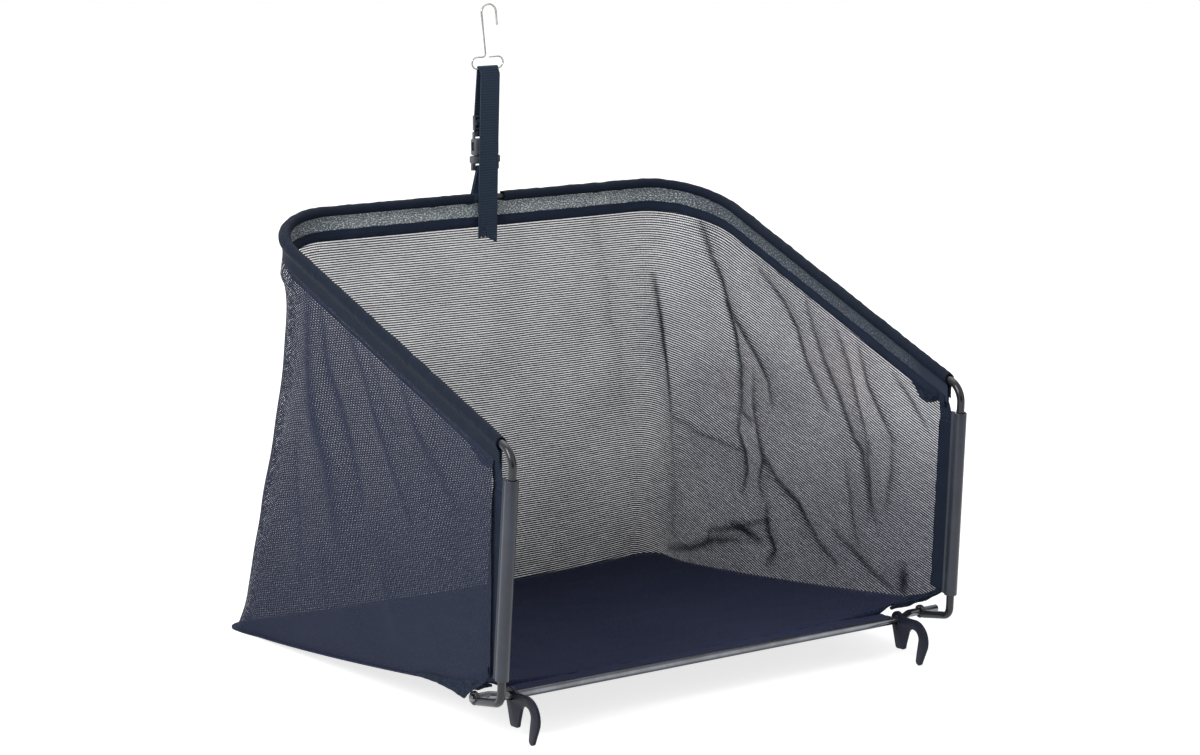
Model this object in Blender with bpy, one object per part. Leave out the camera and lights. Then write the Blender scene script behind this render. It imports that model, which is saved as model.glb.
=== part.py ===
"""Grass box of a hand-pushed reel mower: a wire hoop, a crossbar with two claws, a mesh bag and a strap.

Run with: blender --background --python part.py
Metres, +Z up. The box stands on its two claws and on the rear edge of its floor.
Points are worked out in the box frame: X across, Y rearward from the uprights, Z up from the ground.
"""

import math

import bmesh
import bpy
from mathutils import Matrix, Vector

# Wire frame
rod_diameter = 0.006
upright_spacing = 0.410
upright_top_spacing = 0.403
rear_rail_width = 0.4186
foot_height = 0.036
upright_lean = 0.0125
upright_height = 0.1805
rim_rise = 0.1215
rim_reach = 0.3525
foot_bend_radius = 0.008
shoulder_bend_radius = 0.015
rear_bend_radius = 0.0595
rod_sides = 12

# Crossbar
bar_setback = 0.0285
bar_height = 0.0303
stub_setback = 0.0345
stub_height = 0.0315
crank_start = 0.181
crank_end = 0.193
stub_end_left = 0.2085
stub_end_right = 0.2215

# Flattened eyes at the ends of the hoop
eye_radius = 0.0052
eye_thickness = 0.003
pin_clearance = 0.0003

# Claws
claw_spacing = 0.355
claw_thickness = 0.0025
claw_eye_radius = 0.0068
claw_prong_radius = 0.0028
claw_slot_radius = 0.0065

# Edge clips
clip_wall = 0.001
clip_start_height = 0.017
clip_length = 0.1455
clip_slit = 0.0022
clip_lip = 0.0024

# Sewn tapes and hems
cloth_gap = 0.0003
edge_tape_layer = 0.0004
edge_tape_thickness = 0.001
edge_tape_width = 0.020
edge_tape_length = 0.132
hem_layer = 0.0011
hem_thickness = 0.0016
hem_drop = 0.0185
hem_front = 0.002
rim_tape_thickness = 0.001
rim_tape_width = 0.0078
rim_tape_drop = 0.022
notch_width = 0.028

# Mesh wall and floor
mesh_thickness = 0.001
mesh_overlap = 0.005
wall_front = 0.009
floor_thickness = 0.0012
floor_front = 0.047
floor_rear = 0.404
floor_level_depth = 0.026
floor_bow = 0.014
floor_margin = 0.002
floor_flare = 0.005
tape_cover = 0.0014
floor_corner_radius = 0.018
floor_front_rise = 0.0305
floor_edge_lift = 0.008
floor_sag_power = 1.25
floor_hem_width = 0.0142
floor_hem_thickness = 0.0034
floor_hem_length = 0.326
corner_draw_in = 0.0145

# Strap, buckle and hook
strap_offset = -0.0015
webbing_width = 0.0175
webbing_thickness = 0.0012
strap_bar_diameter = 0.0024
buckle_rise = 0.0243
buckle_width = 0.0258
female_width = 0.0226
buckle_thickness = 0.008
female_height = 0.0136
male_height = 0.0061
bar_slot = 0.003
prong_length = 0.0125
prong_width = 0.0032
prong_thickness = 0.0042
tri_glide_rise = 0.0085
tri_glide_pitch = 0.0048
tri_glide_bar = 0.0016
hook_rise = 0.0520
hook_wire = 0.0018
loop_width = 0.0290
loop_height = 0.0092
hook_height = 0.0510
hook_radius = 0.0068
tail_length = 0.1435
tail_setback = 0.007

# Places that follow from the sizes above
rod_radius = rod_diameter / 2
upright_half = upright_spacing / 2
upright_top_half = upright_top_spacing / 2
rear_half = rear_rail_width / 2
foot_corner = Vector((upright_half, 0.0, foot_height))
shoulder_corner = Vector((upright_top_half, -upright_lean, foot_height + upright_height))
rear_corner = Vector((rear_half, rim_reach - upright_lean, shoulder_corner.z + rim_rise))
eye_center = Vector((upright_half, stub_setback, stub_height))
claw_half = claw_spacing / 2
rim_rear = rear_corner.y
rim_height = rear_corner.z
wall_offset = hem_thickness / 2 + cloth_gap + mesh_thickness / 2
wall_half = upright_half + wall_offset
floor_half_width = wall_half + floor_margin
buckle_base = rim_height + buckle_rise
male_bar_center = buckle_base
male_bottom = male_bar_center + strap_bar_diameter / 2 + bar_slot
male_top = male_bottom + male_height
female_bottom = male_top + cloth_gap
female_top = female_bottom + female_height
female_bar_center = female_top + bar_slot + strap_bar_diameter / 2
tri_glide_center = female_bar_center + tri_glide_rise
hook_bar_center = female_bar_center + hook_rise
hook_bar_setback = rim_rear - 0.005


def clear_scene():
    for item in list(bpy.data.objects):
        bpy.data.objects.remove(item, do_unlink=True)


def make_material(name, color, roughness, metallic=0.0):
    material = bpy.data.materials.new(name)
    material.use_nodes = True
    shader = material.node_tree.nodes["Principled BSDF"]
    shader.inputs["Base Color"].default_value = (*color, 1.0)
    shader.inputs["Roughness"].default_value = roughness
    shader.inputs["Metallic"].default_value = metallic
    material.diffuse_color = (*color, 1.0)
    return material


def add_object(name, bm, parent, color, roughness, metallic=0.0, location=(0.0, 0.0, 0.0)):
    bmesh.ops.remove_doubles(bm, verts=bm.verts, dist=1e-6)
    bmesh.ops.recalc_face_normals(bm, faces=bm.faces)
    mesh = bpy.data.meshes.new(name)
    bm.to_mesh(mesh)
    bm.free()
    item = bpy.data.objects.new(name, mesh)
    bpy.context.collection.objects.link(item)
    item.parent = parent
    item.location = location
    mesh.materials.append(make_material(name, color, roughness, metallic))
    return item


def add_empty(name, parent, location):
    empty = bpy.data.objects.new(name, None)
    bpy.context.collection.objects.link(empty)
    empty.parent = parent
    empty.location = location
    return empty


def add_cutter(name, bm, parent):
    cutter = add_object(name, bm, parent, (0.5, 0.5, 0.5), 0.5)
    cutter.hide_render = True
    cutter.display_type = "WIRE"
    return cutter


def combine(item, other, operation):
    modifier = item.modifiers.new(operation.title(), "BOOLEAN")
    modifier.operation = operation
    modifier.object = other
    modifier.solver = "EXACT"


def rounded_path(corners, radii, steps):
    """Points along a line through the corners, with each inner corner rounded to its radius."""
    points = [corners[0].copy()]
    for before, corner, after, radius in zip(corners, corners[1:], corners[2:], radii):
        into = (corner - before).normalized()
        out = (after - corner).normalized()
        half_turn = into.angle(out) / 2
        reach = radius * math.tan(half_turn)
        center = corner + (out - into).normalized() * radius / math.cos(half_turn)
        start = corner - into * reach - center
        side = into * radius
        for step in range(steps + 1):
            angle = 2 * half_turn * step / steps
            points.append(center + start * math.cos(angle) + side * math.sin(angle))
    points.append(corners[-1].copy())
    return points


def arc_points(center, radius, start_degrees, end_degrees, steps):
    points = []
    for step in range(steps + 1):
        angle = math.radians(start_degrees + (end_degrees - start_degrees) * step / steps)
        points.append((center[0] + radius * math.cos(angle), center[1] + radius * math.sin(angle)))
    return points


def tube(points, radius, sides):
    """A closed round rod swept along the points, its rings turned as little as possible."""
    bm = bmesh.new()
    count = len(points)
    tangents = []
    for i in range(count):
        tangents.append((points[min(i + 1, count - 1)] - points[max(i - 1, 0)]).normalized())
    normal = tangents[0].orthogonal().normalized()
    rings = []
    for i, point in enumerate(points):
        normal = (normal - tangents[i] * normal.dot(tangents[i])).normalized()
        other = tangents[i].cross(normal)
        ring = []
        for k in range(sides):
            angle = 2 * math.pi * k / sides
            ring.append(bm.verts.new(point + (normal * math.cos(angle) + other * math.sin(angle)) * radius))
        rings.append(ring)
    for ring, following in zip(rings, rings[1:]):
        for k in range(sides):
            after = (k + 1) % sides
            bm.faces.new((ring[k], ring[after], following[after], following[k]))
    bm.faces.new(rings[0])
    bm.faces.new(rings[-1])
    return bm


def prism(outline, place, thickness):
    """A flat plate: outline points (a, b) placed by place(a, b, level), from level 0 to the thickness."""
    bm = bmesh.new()
    lower = [bm.verts.new(place(a, b, -thickness / 2)) for a, b in outline]
    upper = [bm.verts.new(place(a, b, thickness / 2)) for a, b in outline]
    bm.faces.new(lower)
    bm.faces.new(upper)
    for i in range(len(outline)):
        after = (i + 1) % len(outline)
        bm.faces.new((lower[i], lower[after], upper[after], upper[i]))
    return bm


def across(x):
    """Places a side-view point (Y, Z) in the plane at X, for prism."""
    return lambda y, z, level: Vector((x + level, y, z))


def box(center, size):
    bm = bmesh.new()
    bmesh.ops.create_cube(bm, size=1.0, matrix=Matrix.Translation(center) @ Matrix.Diagonal((*size, 1.0)))
    return bm


def cylinder_x(center, radius, length, sides=24):
    bm = bmesh.new()
    turn = Matrix.Rotation(math.pi / 2, 4, "Y")
    bmesh.ops.create_cone(bm, cap_ends=True, segments=sides, radius1=radius, radius2=radius, depth=length,
                          matrix=Matrix.Translation(center) @ turn)
    return bm


def keyhole_section(inner_radius, outer_radius, half_band, band_end):
    """Outer and inner loops of a ring with a flat band hanging from it: points are (sideways, along)."""
    outer = []
    inner = []
    for angle_degrees in range(-75, 256, 30):
        angle = math.radians(angle_degrees)
        outer.append((outer_radius * math.cos(angle), outer_radius * math.sin(angle)))
        inner.append((inner_radius * math.cos(angle), inner_radius * math.sin(angle)))
    neck = outer_radius * 1.02
    band = ((-1, neck, 260), (-1, band_end, 267), (1, band_end, 273), (1, neck, 280))
    for side, along, angle_degrees in band:
        angle = math.radians(angle_degrees)
        outer.append((side * half_band, -along))
        inner.append((inner_radius * math.cos(angle), inner_radius * math.sin(angle)))
    return outer, inner


def sweep_keyhole(outer, inner, stations):
    """Sweeps the section through stations of (point, sideways, upward) and caps the ring at both ends."""
    bm = bmesh.new()
    loops = []
    for point, sideways, upward in stations:
        ring = [bm.verts.new(point + sideways * a + upward * b) for a, b in outer]
        hole = [bm.verts.new(point + sideways * a + upward * b) for a, b in inner]
        loops.append((ring, hole))
    count = len(outer)
    for (ring, hole), (next_ring, next_hole) in zip(loops, loops[1:]):
        for k in range(count):
            after = (k + 1) % count
            bm.faces.new((ring[k], ring[after], next_ring[after], next_ring[k]))
            bm.faces.new((hole[after], hole[k], next_hole[k], next_hole[after]))
    for ring, hole in (loops[0], loops[-1]):
        for k in range(count):
            after = (k + 1) % count
            bm.faces.new((ring[k], ring[after], hole[after], hole[k]))
    return bm


def sweep_strip(profile, stations):
    """Sweeps a closed profile of (sideways, upward) points through the stations."""
    bm = bmesh.new()
    rings = []
    for point, sideways, upward in stations:
        rings.append([bm.verts.new(point + sideways * a + upward * b) for a, b in profile])
    count = len(profile)
    for ring, following in zip(rings, rings[1:]):
        for k in range(count):
            after = (k + 1) % count
            bm.faces.new((ring[k], ring[after], following[after], following[k]))
    bm.faces.new(rings[0])
    bm.faces.new(rings[-1])
    return bm


def mirrored(point):
    return Vector((-point.x, point.y, point.z))


def hoop_corners():
    right = [eye_center - Vector((0.0, 0.0045, 0.0028)), foot_corner, shoulder_corner, rear_corner]
    return [mirrored(p) for p in right] + right[::-1]


def hoop_path(steps=8):
    radii = [foot_bend_radius, shoulder_bend_radius, rear_bend_radius]
    return rounded_path(hoop_corners(), radii + radii[::-1], steps)


def rail_stations(front, steps=8, side_steps=6, rear_steps=6):
    """Stations along the rim from the front of the left rail round to the front of the right rail."""
    share = (front - shoulder_corner.y) / (rear_corner.y - shoulder_corner.y)
    start = shoulder_corner.lerp(rear_corner, share)
    corners = [mirrored(start), mirrored(rear_corner), rear_corner.copy(), start]
    bends = rounded_path(corners, [rear_bend_radius, rear_bend_radius], steps)
    left_bend = bends[1:steps + 2]
    right_bend = bends[steps + 2:2 * steps + 3]
    points = [bends[0].lerp(left_bend[0], i / side_steps) for i in range(side_steps)]
    points += left_bend
    points += [left_bend[-1].lerp(right_bend[0], i / rear_steps) for i in range(1, rear_steps)]
    points += right_bend
    points += [right_bend[-1].lerp(bends[-1], i / side_steps) for i in range(1, side_steps + 1)]
    up = Vector((0.0, 0.0, 1.0))
    stations = []
    for i, point in enumerate(points):
        ahead = points[min(i + 1, len(points) - 1)] - points[max(i - 1, 0)]
        inboard = ahead.cross(up).normalized()
        stations.append((point, inboard, up))
    return stations


def build_hoop(parent):
    rod = tube(hoop_path(), rod_radius, rod_sides)
    hoop = add_object("hoop_rod", rod, parent, (0.035, 0.037, 0.042), 0.38, 0.5)
    for side, label in ((-1, "left"), (1, "right")):
        center = Vector((side * eye_center.x, eye_center.y, eye_center.z))
        eye = add_cutter(f"eye_blank_{label}", cylinder_x(center, eye_radius, eye_thickness, 28), parent)
        combine(hoop, eye, "UNION")
        hole = cylinder_x(center, rod_radius + pin_clearance, rod_diameter * 2, 28)
        combine(hoop, add_cutter(f"eye_hole_{label}", hole, parent), "DIFFERENCE")
    return hoop


def crossbar_half(side, stub_end):
    return [
        Vector((side * stub_end, stub_setback, stub_height)),
        Vector((side * crank_end, stub_setback, stub_height)),
        Vector((side * crank_start, bar_setback, bar_height)),
    ]


def build_crossbar(parent):
    corners = crossbar_half(-1, stub_end_left) + crossbar_half(1, stub_end_right)[::-1]
    path = rounded_path(corners, [0.007] * 4, 5)
    return add_object("crossbar", tube(path, rod_radius, rod_sides), parent, (0.05, 0.053, 0.06), 0.3, 0.6)


def claw_outline():
    """Side view of a claw: an eye round the crossbar, a straight rear prong and a curved front prong."""
    tip_y, tip_z = 0.0018, claw_prong_radius
    slot_y, slot_z = 0.0089, 0.0203
    outer_y, outer_z = 0.0076, 0.0193
    outline = arc_points((bar_setback, bar_height), claw_eye_radius, -12, 128, 10)
    outline += [(0.0212, 0.0338)]
    outline += arc_points((outer_y, outer_z), 0.0151, 84, 196, 14)
    outline += arc_points((tip_y + 0.0003, tip_z), claw_prong_radius, 197, 372, 8)
    outline += arc_points((slot_y, slot_z), claw_slot_radius, 186, 20, 12)
    outline += [(0.0182, 0.0125)]
    outline += arc_points((0.0212, 0.0108), 0.0026, 195, 262, 3)
    outline += arc_points((0.0272, 0.0104), 0.0026, 258, 340, 3)
    return outline


def build_claws(parent):
    for side, label in ((-1, "left"), (1, "right")):
        plate = prism(claw_outline(), across(side * claw_half), claw_thickness)
        claw = add_object(f"claw_{label}", plate, parent, (0.045, 0.048, 0.055), 0.42, 0.5)
        center = (side * claw_half, bar_setback, bar_height)
        hole = cylinder_x(center, rod_radius + pin_clearance, 0.01, rod_sides)
        combine(claw, add_cutter(f"claw_hole_{label}", hole, parent), "DIFFERENCE")


def clip_outline():
    """Section of an edge clip, in (inboard, rearward): a ring open to the rear, with two flared lips."""
    inner = rod_radius + cloth_gap + edge_tape_layer + cloth_gap
    outer = inner + clip_wall
    inner_open = math.degrees(math.asin(clip_slit / 2 / inner))
    outer_open = math.degrees(math.asin((clip_slit / 2 + clip_wall * 0.8) / outer))
    section = arc_points((0.0, 0.0), outer, 90 + outer_open, 450 - outer_open, 22)
    section += [(clip_slit / 2 + clip_wall * 0.8 + clip_lip * 0.55, outer + clip_lip * 0.72)]
    section += [(clip_slit / 2 + clip_lip * 0.35, outer + clip_lip)]
    section += arc_points((0.0, 0.0), inner, 450 - inner_open, 90 + inner_open, 22)
    section += [(-clip_slit / 2 - clip_lip * 0.35, outer + clip_lip)]
    section += [(-clip_slit / 2 - clip_wall * 0.8 - clip_lip * 0.55, outer + clip_lip * 0.72)]
    return section


def upright_frame(side):
    """Foot of an upright, its direction, the inboard direction and the rearward direction."""
    foot = Vector((side * foot_corner.x, foot_corner.y, foot_corner.z))
    top = Vector((side * shoulder_corner.x, shoulder_corner.y, shoulder_corner.z))
    along = (top - foot).normalized()
    inboard = Vector((-side, 0.0, 0.0))
    inboard = (inboard - along * inboard.dot(along)).normalized()
    rearward = Vector((0.0, 1.0, 0.0))
    rearward = (rearward - along * rearward.dot(along) - inboard * rearward.dot(inboard)).normalized()
    return foot, along, inboard, rearward


def build_uprights(parent):
    ring_inner = rod_radius + cloth_gap
    tape_loops = keyhole_section(ring_inner, ring_inner + edge_tape_layer, edge_tape_thickness / 2,
                                 ring_inner + edge_tape_width)
    for side, label in ((-1, "left"), (1, "right")):
        foot, along, inboard, rearward = upright_frame(side)
        start = foot + along * clip_start_height
        stations = [(start, inboard, rearward), (start + along * clip_length, inboard, rearward)]
        clip = sweep_strip(clip_outline(), stations)
        add_object(f"edge_clip_{label}", clip, parent, (0.075, 0.08, 0.09), 0.36)
        start = foot + along * (clip_start_height + 0.001)
        stations = [(start, inboard, -rearward), (start + along * edge_tape_length, inboard, -rearward)]
        tape = sweep_keyhole(*tape_loops, stations)
        add_object(f"edge_tape_{label}", tape, parent, (0.012, 0.014, 0.022), 0.8)


def build_rim(parent):
    ring_inner = rod_radius + 0.0005
    outer, inner = keyhole_section(ring_inner, ring_inner + hem_layer, hem_thickness / 2, hem_drop)
    hem = sweep_keyhole(outer, inner, rail_stations(hem_front))
    hem_object = add_object("rim_hem", hem, parent, (0.010, 0.013, 0.022), 0.75)
    notch_size = (notch_width, 0.03, 0.022)
    notch_center = (strap_offset, rim_rear, rim_height + notch_size[2] / 2 - 0.0065)
    combine(hem_object, add_cutter("rim_notch", box(notch_center, notch_size), parent), "DIFFERENCE")
    near = hem_thickness / 2 + cloth_gap
    far = near + rim_tape_thickness
    top = -rim_tape_drop + rim_tape_width
    profile = [(near, -rim_tape_drop), (far, -rim_tape_drop), (far, top), (near, top)]
    tape = sweep_strip(profile, rail_stations(hem_front + 0.004))
    add_object("rim_tape", tape, parent, (0.008, 0.009, 0.015), 0.85)


def floor_underside(y, share=1.0):
    """Height of the floor's underside: level at the rear, rising to the crossbar, most along its sides."""
    level_end = floor_rear - floor_level_depth
    run = max(0.0, min(1.0, (level_end - y) / (level_end - floor_front)))
    return (floor_front_rise + floor_edge_lift * share ** 4) * run ** floor_sag_power


def corner_inset(distance, radius):
    """How far a round corner draws in the side at this distance before its end."""
    if distance >= radius:
        return 0.0
    return radius - math.sqrt(max(0.0, radius ** 2 - (radius - distance) ** 2))


def floor_point(across_share, y):
    """A point of the floor's underside: its side edge follows the corners, its rear edge bows forward."""
    rear_inset = corner_inset(floor_rear - y, floor_corner_radius)
    front_inset = corner_inset(y - floor_front, floor_corner_radius)
    flare = floor_flare * max(0.0, 1.0 - (floor_rear - y) / 0.05)
    x = across_share * (floor_half_width - rear_inset - front_inset * 0.9 + flare)
    reach = max(0.0, (y - 0.2) / (floor_rear - 0.2))
    bow = floor_bow * reach ** 2 * max(0.0, 1.0 - (x / 0.19) ** 2)
    return Vector((x, y - bow, floor_underside(y, across_share)))


def sheet(grid, thickness, direction):
    """A closed sheet over a grid of points, as thick as given along the direction."""
    bm = bmesh.new()
    near = [[bm.verts.new(p) for p in row] for row in grid]
    far = [[bm.verts.new(p + direction * thickness) for p in row] for row in grid]
    rows = len(grid)
    columns = len(grid[0])
    for i in range(rows - 1):
        for j in range(columns - 1):
            bm.faces.new((near[i][j], near[i][j + 1], near[i + 1][j + 1], near[i + 1][j]))
            bm.faces.new((far[i][j], far[i + 1][j], far[i + 1][j + 1], far[i][j + 1]))
    edge = [(0, j) for j in range(columns)] + [(i, columns - 1) for i in range(1, rows)]
    edge += [(rows - 1, j) for j in range(columns - 2, -1, -1)] + [(i, 0) for i in range(rows - 2, 0, -1)]
    for (i, j), (k, m) in zip(edge, edge[1:] + edge[:1]):
        bm.faces.new((near[i][j], far[i][j], far[k][m], near[k][m]))
    return bm


def build_floor(parent):
    r = floor_corner_radius
    corner = [r * (1 - math.cos(math.radians(a))) for a in (0, 14, 28, 42, 58, 74, 90)]
    middle = [floor_front + r + (floor_rear - floor_front - 2 * r) * i / 12 for i in range(1, 12)]
    rows = [floor_front + d for d in corner] + middle + [floor_rear - floor_level_depth]
    rows += [floor_rear - d for d in corner[::-1]]
    rows = sorted(set(rows))
    shares = [i / 9 for i in range(-9, 10)]
    grid = [[floor_point(share, y) for share in shares] for y in rows]
    floor = sheet(grid, floor_thickness, Vector((0.0, 0.0, 1.0)))
    add_object("floor_sheet", floor, parent, (0.009, 0.011, 0.020), 0.7)
    hem_rear = floor_front - cloth_gap
    hem_front_edge = hem_rear - floor_hem_width
    half = floor_hem_thickness / 2
    level = bar_height + 0.0002
    outline = arc_points((hem_front_edge + half, level), half, 270, 90, 6)
    outline += arc_points((hem_rear - half, level), half, 90, -90, 6)
    hem = prism(outline, across(0.0), floor_hem_length)
    add_object("floor_hem", hem, parent, (0.010, 0.012, 0.021), 0.75)


def wall_columns():
    """Top and bottom points of the mesh wall, from the left front round the rear to the right front."""
    side, bend, rear = 13, 8, 16
    stations = rail_stations(wall_front, steps=bend, side_steps=side, rear_steps=rear)
    top = []
    for point, inboard, up in stations:
        top.append(point - inboard * wall_offset + up * (mesh_overlap - hem_drop))
    half = wall_half
    radius = floor_corner_radius + floor_margin
    right = [Vector((half, wall_front, 0.0)), Vector((half, floor_rear - floor_margin - 0.001, 0.0))]
    corners = [mirrored(right[0]), mirrored(right[1]), right[1], right[0]]
    bends = rounded_path(corners, [radius, radius], bend)
    left_bend = bends[1:bend + 2]
    right_bend = bends[bend + 2:2 * bend + 3]
    bottom = [bends[0].lerp(left_bend[0], i / side) for i in range(side)] + left_bend
    bottom += [left_bend[-1].lerp(right_bend[0], i / rear) for i in range(1, rear)] + right_bend
    bottom += [right_bend[-1].lerp(bends[-1], i / side) for i in range(1, side + 1)]
    for point in bottom:
        reach = max(0.0, (point.y - 0.2) / (floor_rear - 0.2))
        level_y = point.y
        point.y -= floor_bow * reach ** 2 * max(0.0, 1.0 - (point.x / 0.19) ** 2)
        on_floor = floor_underside(level_y) + floor_thickness + cloth_gap + 0.0006
        point.z = max(on_floor, wall_foot(point.y))
    return top, bottom, [inboard for _, inboard, _ in stations]


def wall_foot(y):
    """Lowest the wall may reach near the front, where it climbs over the hoop's eye to the edge tape."""
    clear_of_eye = eye_center.z + eye_radius + 0.0012
    edge_bottom = foot_height + clip_start_height + 0.001
    if y > stub_setback + eye_radius + 0.008:
        return 0.0
    if y > stub_setback:
        return clear_of_eye - (y - stub_setback) * 0.45
    share = (stub_setback - y) / (stub_setback - wall_front)
    return clear_of_eye + (edge_bottom - clear_of_eye) * share


def crease(u, v, start, end, width, depth):
    """Depth of one soft crease running from start to end in the wall's (u, v) plane."""
    along = Vector((end[0] - start[0], end[1] - start[1]))
    reach = Vector((u - start[0], v - start[1]))
    share = max(0.0, min(1.0, reach.dot(along) / along.length_squared))
    gap = (reach - along * share).length
    fade = math.sin(math.pi * (0.12 + 0.76 * share))
    return depth * fade * math.exp(-(gap / width) ** 2)


def wall_relief(u, v):
    """Folds of the mesh: u runs 0 to 3 along left, rear and right, v from the hem (0) to the floor (1)."""
    free = math.sin(math.pi * min(1.0, max(0.0, (v - 0.04) / 0.92))) ** 0.7 if 0.04 < v < 0.96 else 0.0
    edge = min(1.0, u / 0.25, (3.0 - u) / 0.25)
    folds = 0.0
    if 1.0 < u < 2.0:
        folds += 0.0022 * math.cos(2 * math.pi * (u - 1.0) * 4.5 + 1.4 * v) * (0.35 + 0.65 * v)
    else:
        folds += 0.0013 * math.cos(2 * math.pi * (u * 3.2 + 0.8 * v))
    for start, end, width, depth in WALL_CREASES:
        folds += crease(u, v, start, end, width, depth)
    return folds * free * edge


WALL_CREASES = (
    ((0.30, 0.25), (0.95, 0.90), 0.05, 0.0040),
    ((0.55, 0.10), (0.98, 0.65), 0.04, 0.0035),
    ((0.15, 0.45), (0.70, 0.98), 0.05, -0.0030),
    ((2.02, 0.05), (2.22, 0.55), 0.05, -0.0045),
    ((2.10, 0.10), (2.45, 0.85), 0.04, 0.0045),
    ((2.25, 0.55), (2.70, 0.80), 0.05, -0.0040),
    ((2.35, 0.30), (2.85, 0.75), 0.05, 0.0030),
    ((1.75, 0.50), (2.10, 0.95), 0.05, 0.0035),
)


def build_wall(parent):
    top, bottom, inboards = wall_columns()
    rows = 20
    column_count = len(top)
    grid = []
    for i in range(rows + 1):
        v = i / rows
        row = []
        for j in range(column_count):
            u = 3.0 * j / (column_count - 1)
            point = top[j].lerp(bottom[j], v)
            corner = max(0.0, 1.0 - min(abs(u - 0.88), abs(u - 2.12)) / 0.33)
            below_hem = max(0.0, (v - 0.05) / 0.95)
            draw = corner_draw_in * corner * abs(math.sin(math.pi * below_hem ** 0.6))
            cover = tape_cover * max(0.0, 1.0 - min(u, 3.0 - u) / 0.2) * min(1.0, v / 0.05)
            point += inboards[j] * (draw - wall_relief(u, v) - cover)
            row.append(point)
        grid.append(row)
    bm = bmesh.new()
    verts = [[bm.verts.new(p) for p in row] for row in grid]
    for i in range(rows):
        for j in range(column_count - 1):
            bm.faces.new((verts[i][j], verts[i][j + 1], verts[i + 1][j + 1], verts[i + 1][j]))
    wall = add_object("mesh_wall", bm, parent, (0.02, 0.024, 0.036), 0.8)
    solid = wall.modifiers.new("Solidify", "SOLIDIFY")
    solid.thickness = mesh_thickness
    solid.offset = 0.0
    return wall


def ribbon_outline(path, thickness):
    """Outline of a strip of webbing seen edge-on, from its centre line of (Y, Z) points."""
    left = []
    right = []
    for i, (y, z) in enumerate(path):
        before = path[max(i - 1, 0)]
        after = path[min(i + 1, len(path) - 1)]
        ahead = Vector((after[0] - before[0], after[1] - before[1])).normalized()
        left.append((y - ahead.y * thickness / 2, z + ahead.x * thickness / 2))
        right.append((y + ahead.y * thickness / 2, z - ahead.x * thickness / 2))
    return left + right[::-1]


def build_lower_strap(parent):
    rod_loop = rod_radius + cloth_gap + webbing_thickness
    bar_loop = strap_bar_diameter / 2 + cloth_gap + webbing_thickness
    outline = arc_points((rim_rear, rim_height), rod_loop, 105, 435, 20)
    outline += arc_points((rim_rear, male_bar_center), bar_loop, -62, 242, 14)
    strap = add_object("strap_lower", prism(outline, across(strap_offset), webbing_width), parent,
                       (0.012, 0.015, 0.026), 0.8)
    bar_radius = strap_bar_diameter / 2
    for name, z, radius in (("rod", rim_height, rod_radius), ("bar", male_bar_center, bar_radius)):
        hole = cylinder_x((strap_offset, rim_rear, z), radius + cloth_gap, webbing_width * 1.5, 20)
        combine(strap, add_cutter(f"strap_lower_{name}_hole", hole, parent), "DIFFERENCE")


def add_strap_bar(item, holder, name, width, body_edge, bar_center):
    """Joins two legs and a round bar for the webbing to a buckle half. Heights are the holder's."""
    span = width - 0.0006
    leg = (width - webbing_width - 0.0022) / 2
    far = bar_center + math.copysign(strap_bar_diameter / 2, bar_center - body_edge)
    near = body_edge - math.copysign(0.002, bar_center - body_edge)
    for side, label in ((-1, "left"), (1, "right")):
        center = (side * (span - leg) / 2, 0.0, (near + far) / 2)
        part = box(center, (leg, strap_bar_diameter, abs(far - near)))
        combine(item, add_cutter(f"{name}_leg_{label}", part, holder), "UNION")
    bar = cylinder_x((0.0, 0.0, bar_center), strap_bar_diameter / 2 - 0.00005, span - leg, 16)
    combine(item, add_cutter(f"{name}_bar", bar, holder), "UNION")


def prong_reach():
    """Half the width over the two prongs, which just pass the mouth of the female half."""
    return female_width / 2 - 0.0016


def build_male(parent):
    x, y = strap_offset, rim_rear
    body = box((x, y, (male_bottom + male_top) / 2), (buckle_width, buckle_thickness - 0.001, male_height))
    male = add_object("buckle_male", body, parent, (0.10, 0.105, 0.115), 0.4)
    edges = male.modifiers.new("Bevel", "BEVEL")
    edges.width = 0.0012
    edges.segments = 2
    holder = add_empty("male_tools", parent, (x, y, 0.0))
    add_strap_bar(male, holder, "male", buckle_width, male_bottom, male_bar_center)
    reach = prong_length - 2 * cloth_gap
    inner = prong_reach() - prong_width
    outer = prong_reach()
    for side, label in ((-1, "left"), (1, "right")):
        outline = [
            (side * inner, male_top - 0.001),
            (side * inner, male_top + reach * 0.45),
            (side * (inner - prong_width * 0.1), male_top + reach),
            (side * (outer - prong_width * 0.35), male_top + reach),
            (side * outer, male_top + reach * 0.72),
            (side * outer, male_top + reach * 0.42),
            (side * (outer - prong_width * 0.4), male_top + reach * 0.36),
            (side * (outer - prong_width * 0.2), male_top - 0.001),
        ]
        prong = prism(outline, lambda a, b, level: Vector((a, level, b)), prong_thickness)
        combine(male, add_cutter(f"male_prong_{label}", prong, holder), "UNION")
    tongue = box((0.0, 0.0, male_top + reach * 0.35), (0.0045, prong_thickness * 0.7, reach * 0.9))
    combine(male, add_cutter("male_tongue", tongue, holder), "UNION")
    return male


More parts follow.
